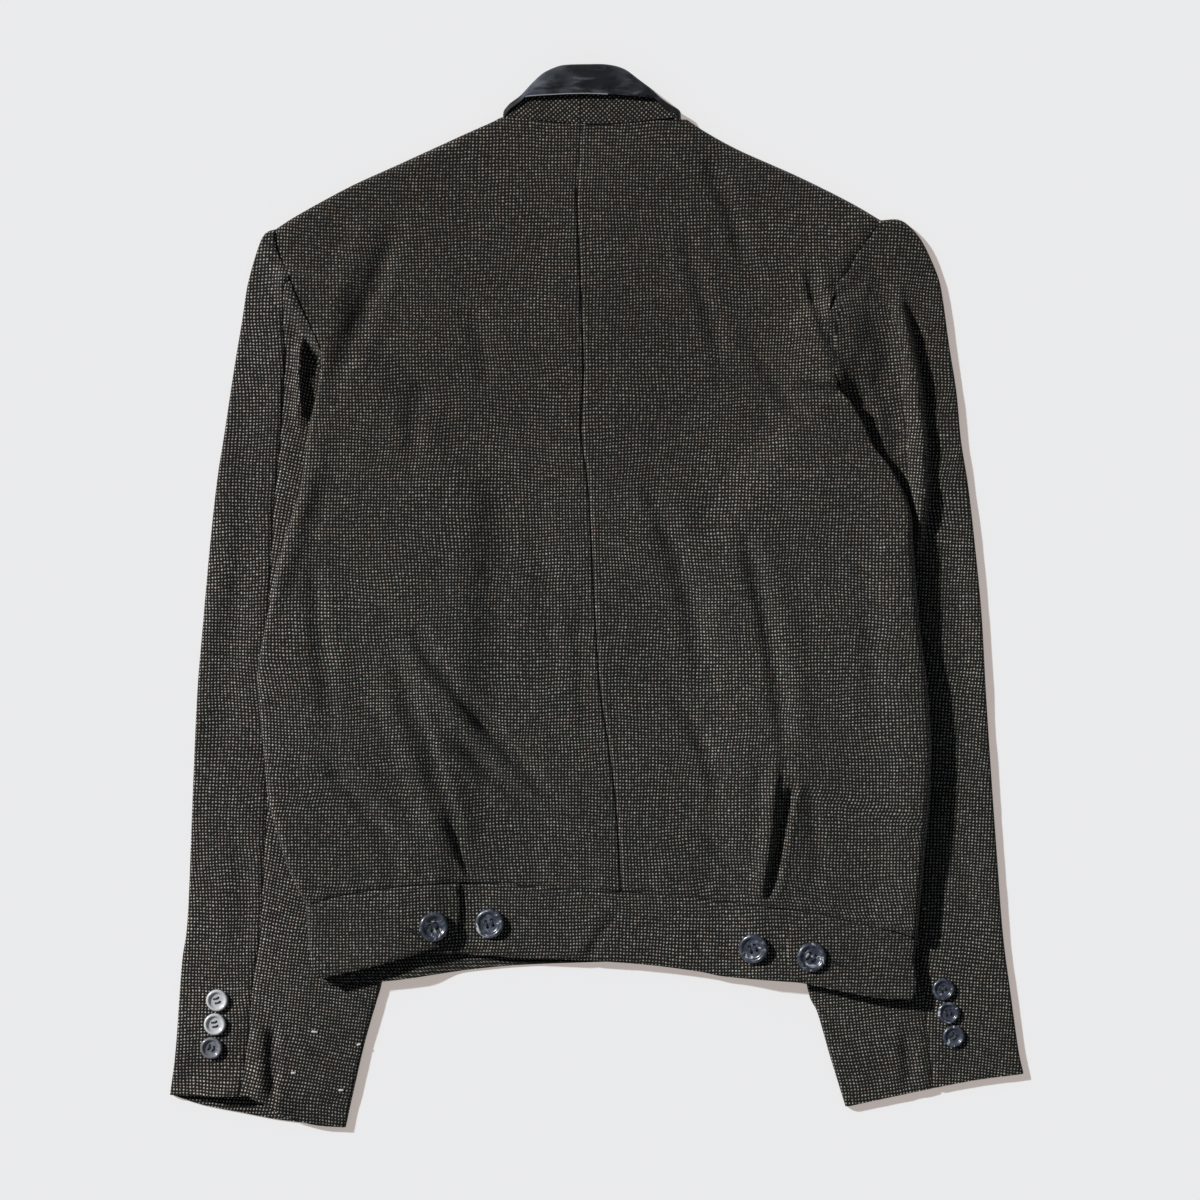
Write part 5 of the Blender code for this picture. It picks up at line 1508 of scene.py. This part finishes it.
def buttons():
    """Four buttons on the waistband and three on each cuff."""
    master = turned_button(WAIST_BUTTON)
    places = [(-111, -222, tab_top, 0.5), (-73, -220.5, band_top, 0.3),
              (105.5, -237, band_top, 0.2), (144.5, -242.5, tab_top, 0.6)]
    for number, (x, y, surface, turn) in enumerate(places, 1):
        place_button(f"waist_button_{number}", master, WAIST_BUTTON, x, y, surface, turn, 1, RESIN)
    master = turned_button(CUFF_BUTTON)
    # The left cuff's buttons carry painted reflections, two strong and one dim; the right cuff's
    # carry none
    resins_and_painted_reflections = {"left": [PAINTED_REFLECTION_RESIN, PAINTED_REFLECTION_RESIN, DIM_PAINTED_REFLECTION_RESIN], "right": [RESIN, RESIN, RESIN]}
    for label, spots in CUFF_SPOTS.items():
        for number, ((x, y), material) in enumerate(zip(spots, resins_and_painted_reflections[label]), 1):
            place_button(f"{label}_cuff_button_{number}", master, CUFF_BUTTON, x, y, cuff_top,
                         0.3 * number, 0, material)


body_panel("back_left", LEFT, False, 118, 226)
body_panel("back_right", RIGHT, False, 118, 226)
body_panel("front_left", LEFT, True, 40, 80)
body_panel("front_right", RIGHT, True, 40, 80)
sleeve(LEFT, "left", 22, 34, 170, 0.0, 0.17)
sleeve(RIGHT, "right", 26, 34, 170, 0.07, -0.10)
collar()
waistband_back()
waistband_front("waistband_left", LEFT, TAB_LEFT_EDGE, TAB_LEFT_LOWER, TAB_LEFT_END,
                FRONT_BAND_LEFT)
waistband_front("waistband_right", RIGHT, TAB_RIGHT_EDGE, TAB_RIGHT_LOWER, TAB_RIGHT_END,
                FRONT_BAND_RIGHT)
topstitching()
buttonholes()
loose_threads()
buttons()


# Floor, light and camera

FLOOR_HALF = 6.0
SUN_POWER = 4.8
SUN_SPREAD = 3.0
SUN_HEIGHT = 33.0
SUN_WAY = (-0.85, 0.53)
FILL = 0.15
LENS = 97.0
CAMERA_PLACE = (0.0017, -0.0014, 2.2)


def studio():
    """Pale floor, one key light from the upper left, and soft fill."""
    floor_mesh = bpy.data.meshes.new("floor")
    half = FLOOR_HALF
    floor_mesh.from_pydata([(-half, -half, 0), (half, -half, 0), (half, half, 0), (-half, half, 0)],
                           [], [(0, 1, 2, 3)])
    material, tree, shader = shader_tree("pale_floor")
    place = object_place(tree)
    tone = node(tree, "ShaderNodeTexNoise", None, {"Vector": place, "Scale": 3.0})
    colour = blend(tree, tone, (0.450, 0.516, 0.567), (0.456, 0.522, 0.573))
    tree.links.new(colour.socket, shader.inputs["Base Color"])
    # A pale sheet lit from below keeps the shadows on it light and warm
    shader.inputs["Emission Color"].default_value = (0.389, 0.329, 0.295, 1)
    shader.inputs["Emission Strength"].default_value = 1.0
    shader.inputs["Roughness"].default_value = 0.9
    shader.inputs["Specular IOR Level"].default_value = 0.1
    floor_mesh.materials.append(material)
    floor = placed("floor", floor_mesh)
    key = bpy.data.lights.new("key", "SUN")
    key.energy = SUN_POWER
    key.angle = math.radians(SUN_SPREAD)
    key.color = (1.0, 0.985, 0.965)
    lamp = placed("key", key)
    rise = math.radians(SUN_HEIGHT)
    level = math.cos(rise)
    towards = Vector((SUN_WAY[0] * level, SUN_WAY[1] * level, math.sin(rise)))
    lamp.rotation_mode = "QUATERNION"
    lamp.rotation_quaternion = towards.to_track_quat("Z", "Y")
    world = bpy.data.worlds.new("studio")
    world.use_nodes = True
    background = world.node_tree.nodes["Background"]
    background.inputs["Color"].default_value = (0.84, 0.91, 1.0, 1)
    background.inputs["Strength"].default_value = FILL
    bpy.context.scene.world = world
    camera = bpy.data.cameras.new("camera")
    camera.lens = LENS
    camera.sensor_width = 36.0
    view = placed("camera", camera)
    view.location = CAMERA_PLACE
    bpy.context.scene.camera = view
    bpy.context.scene.view_settings.view_transform = "Standard"


studio()
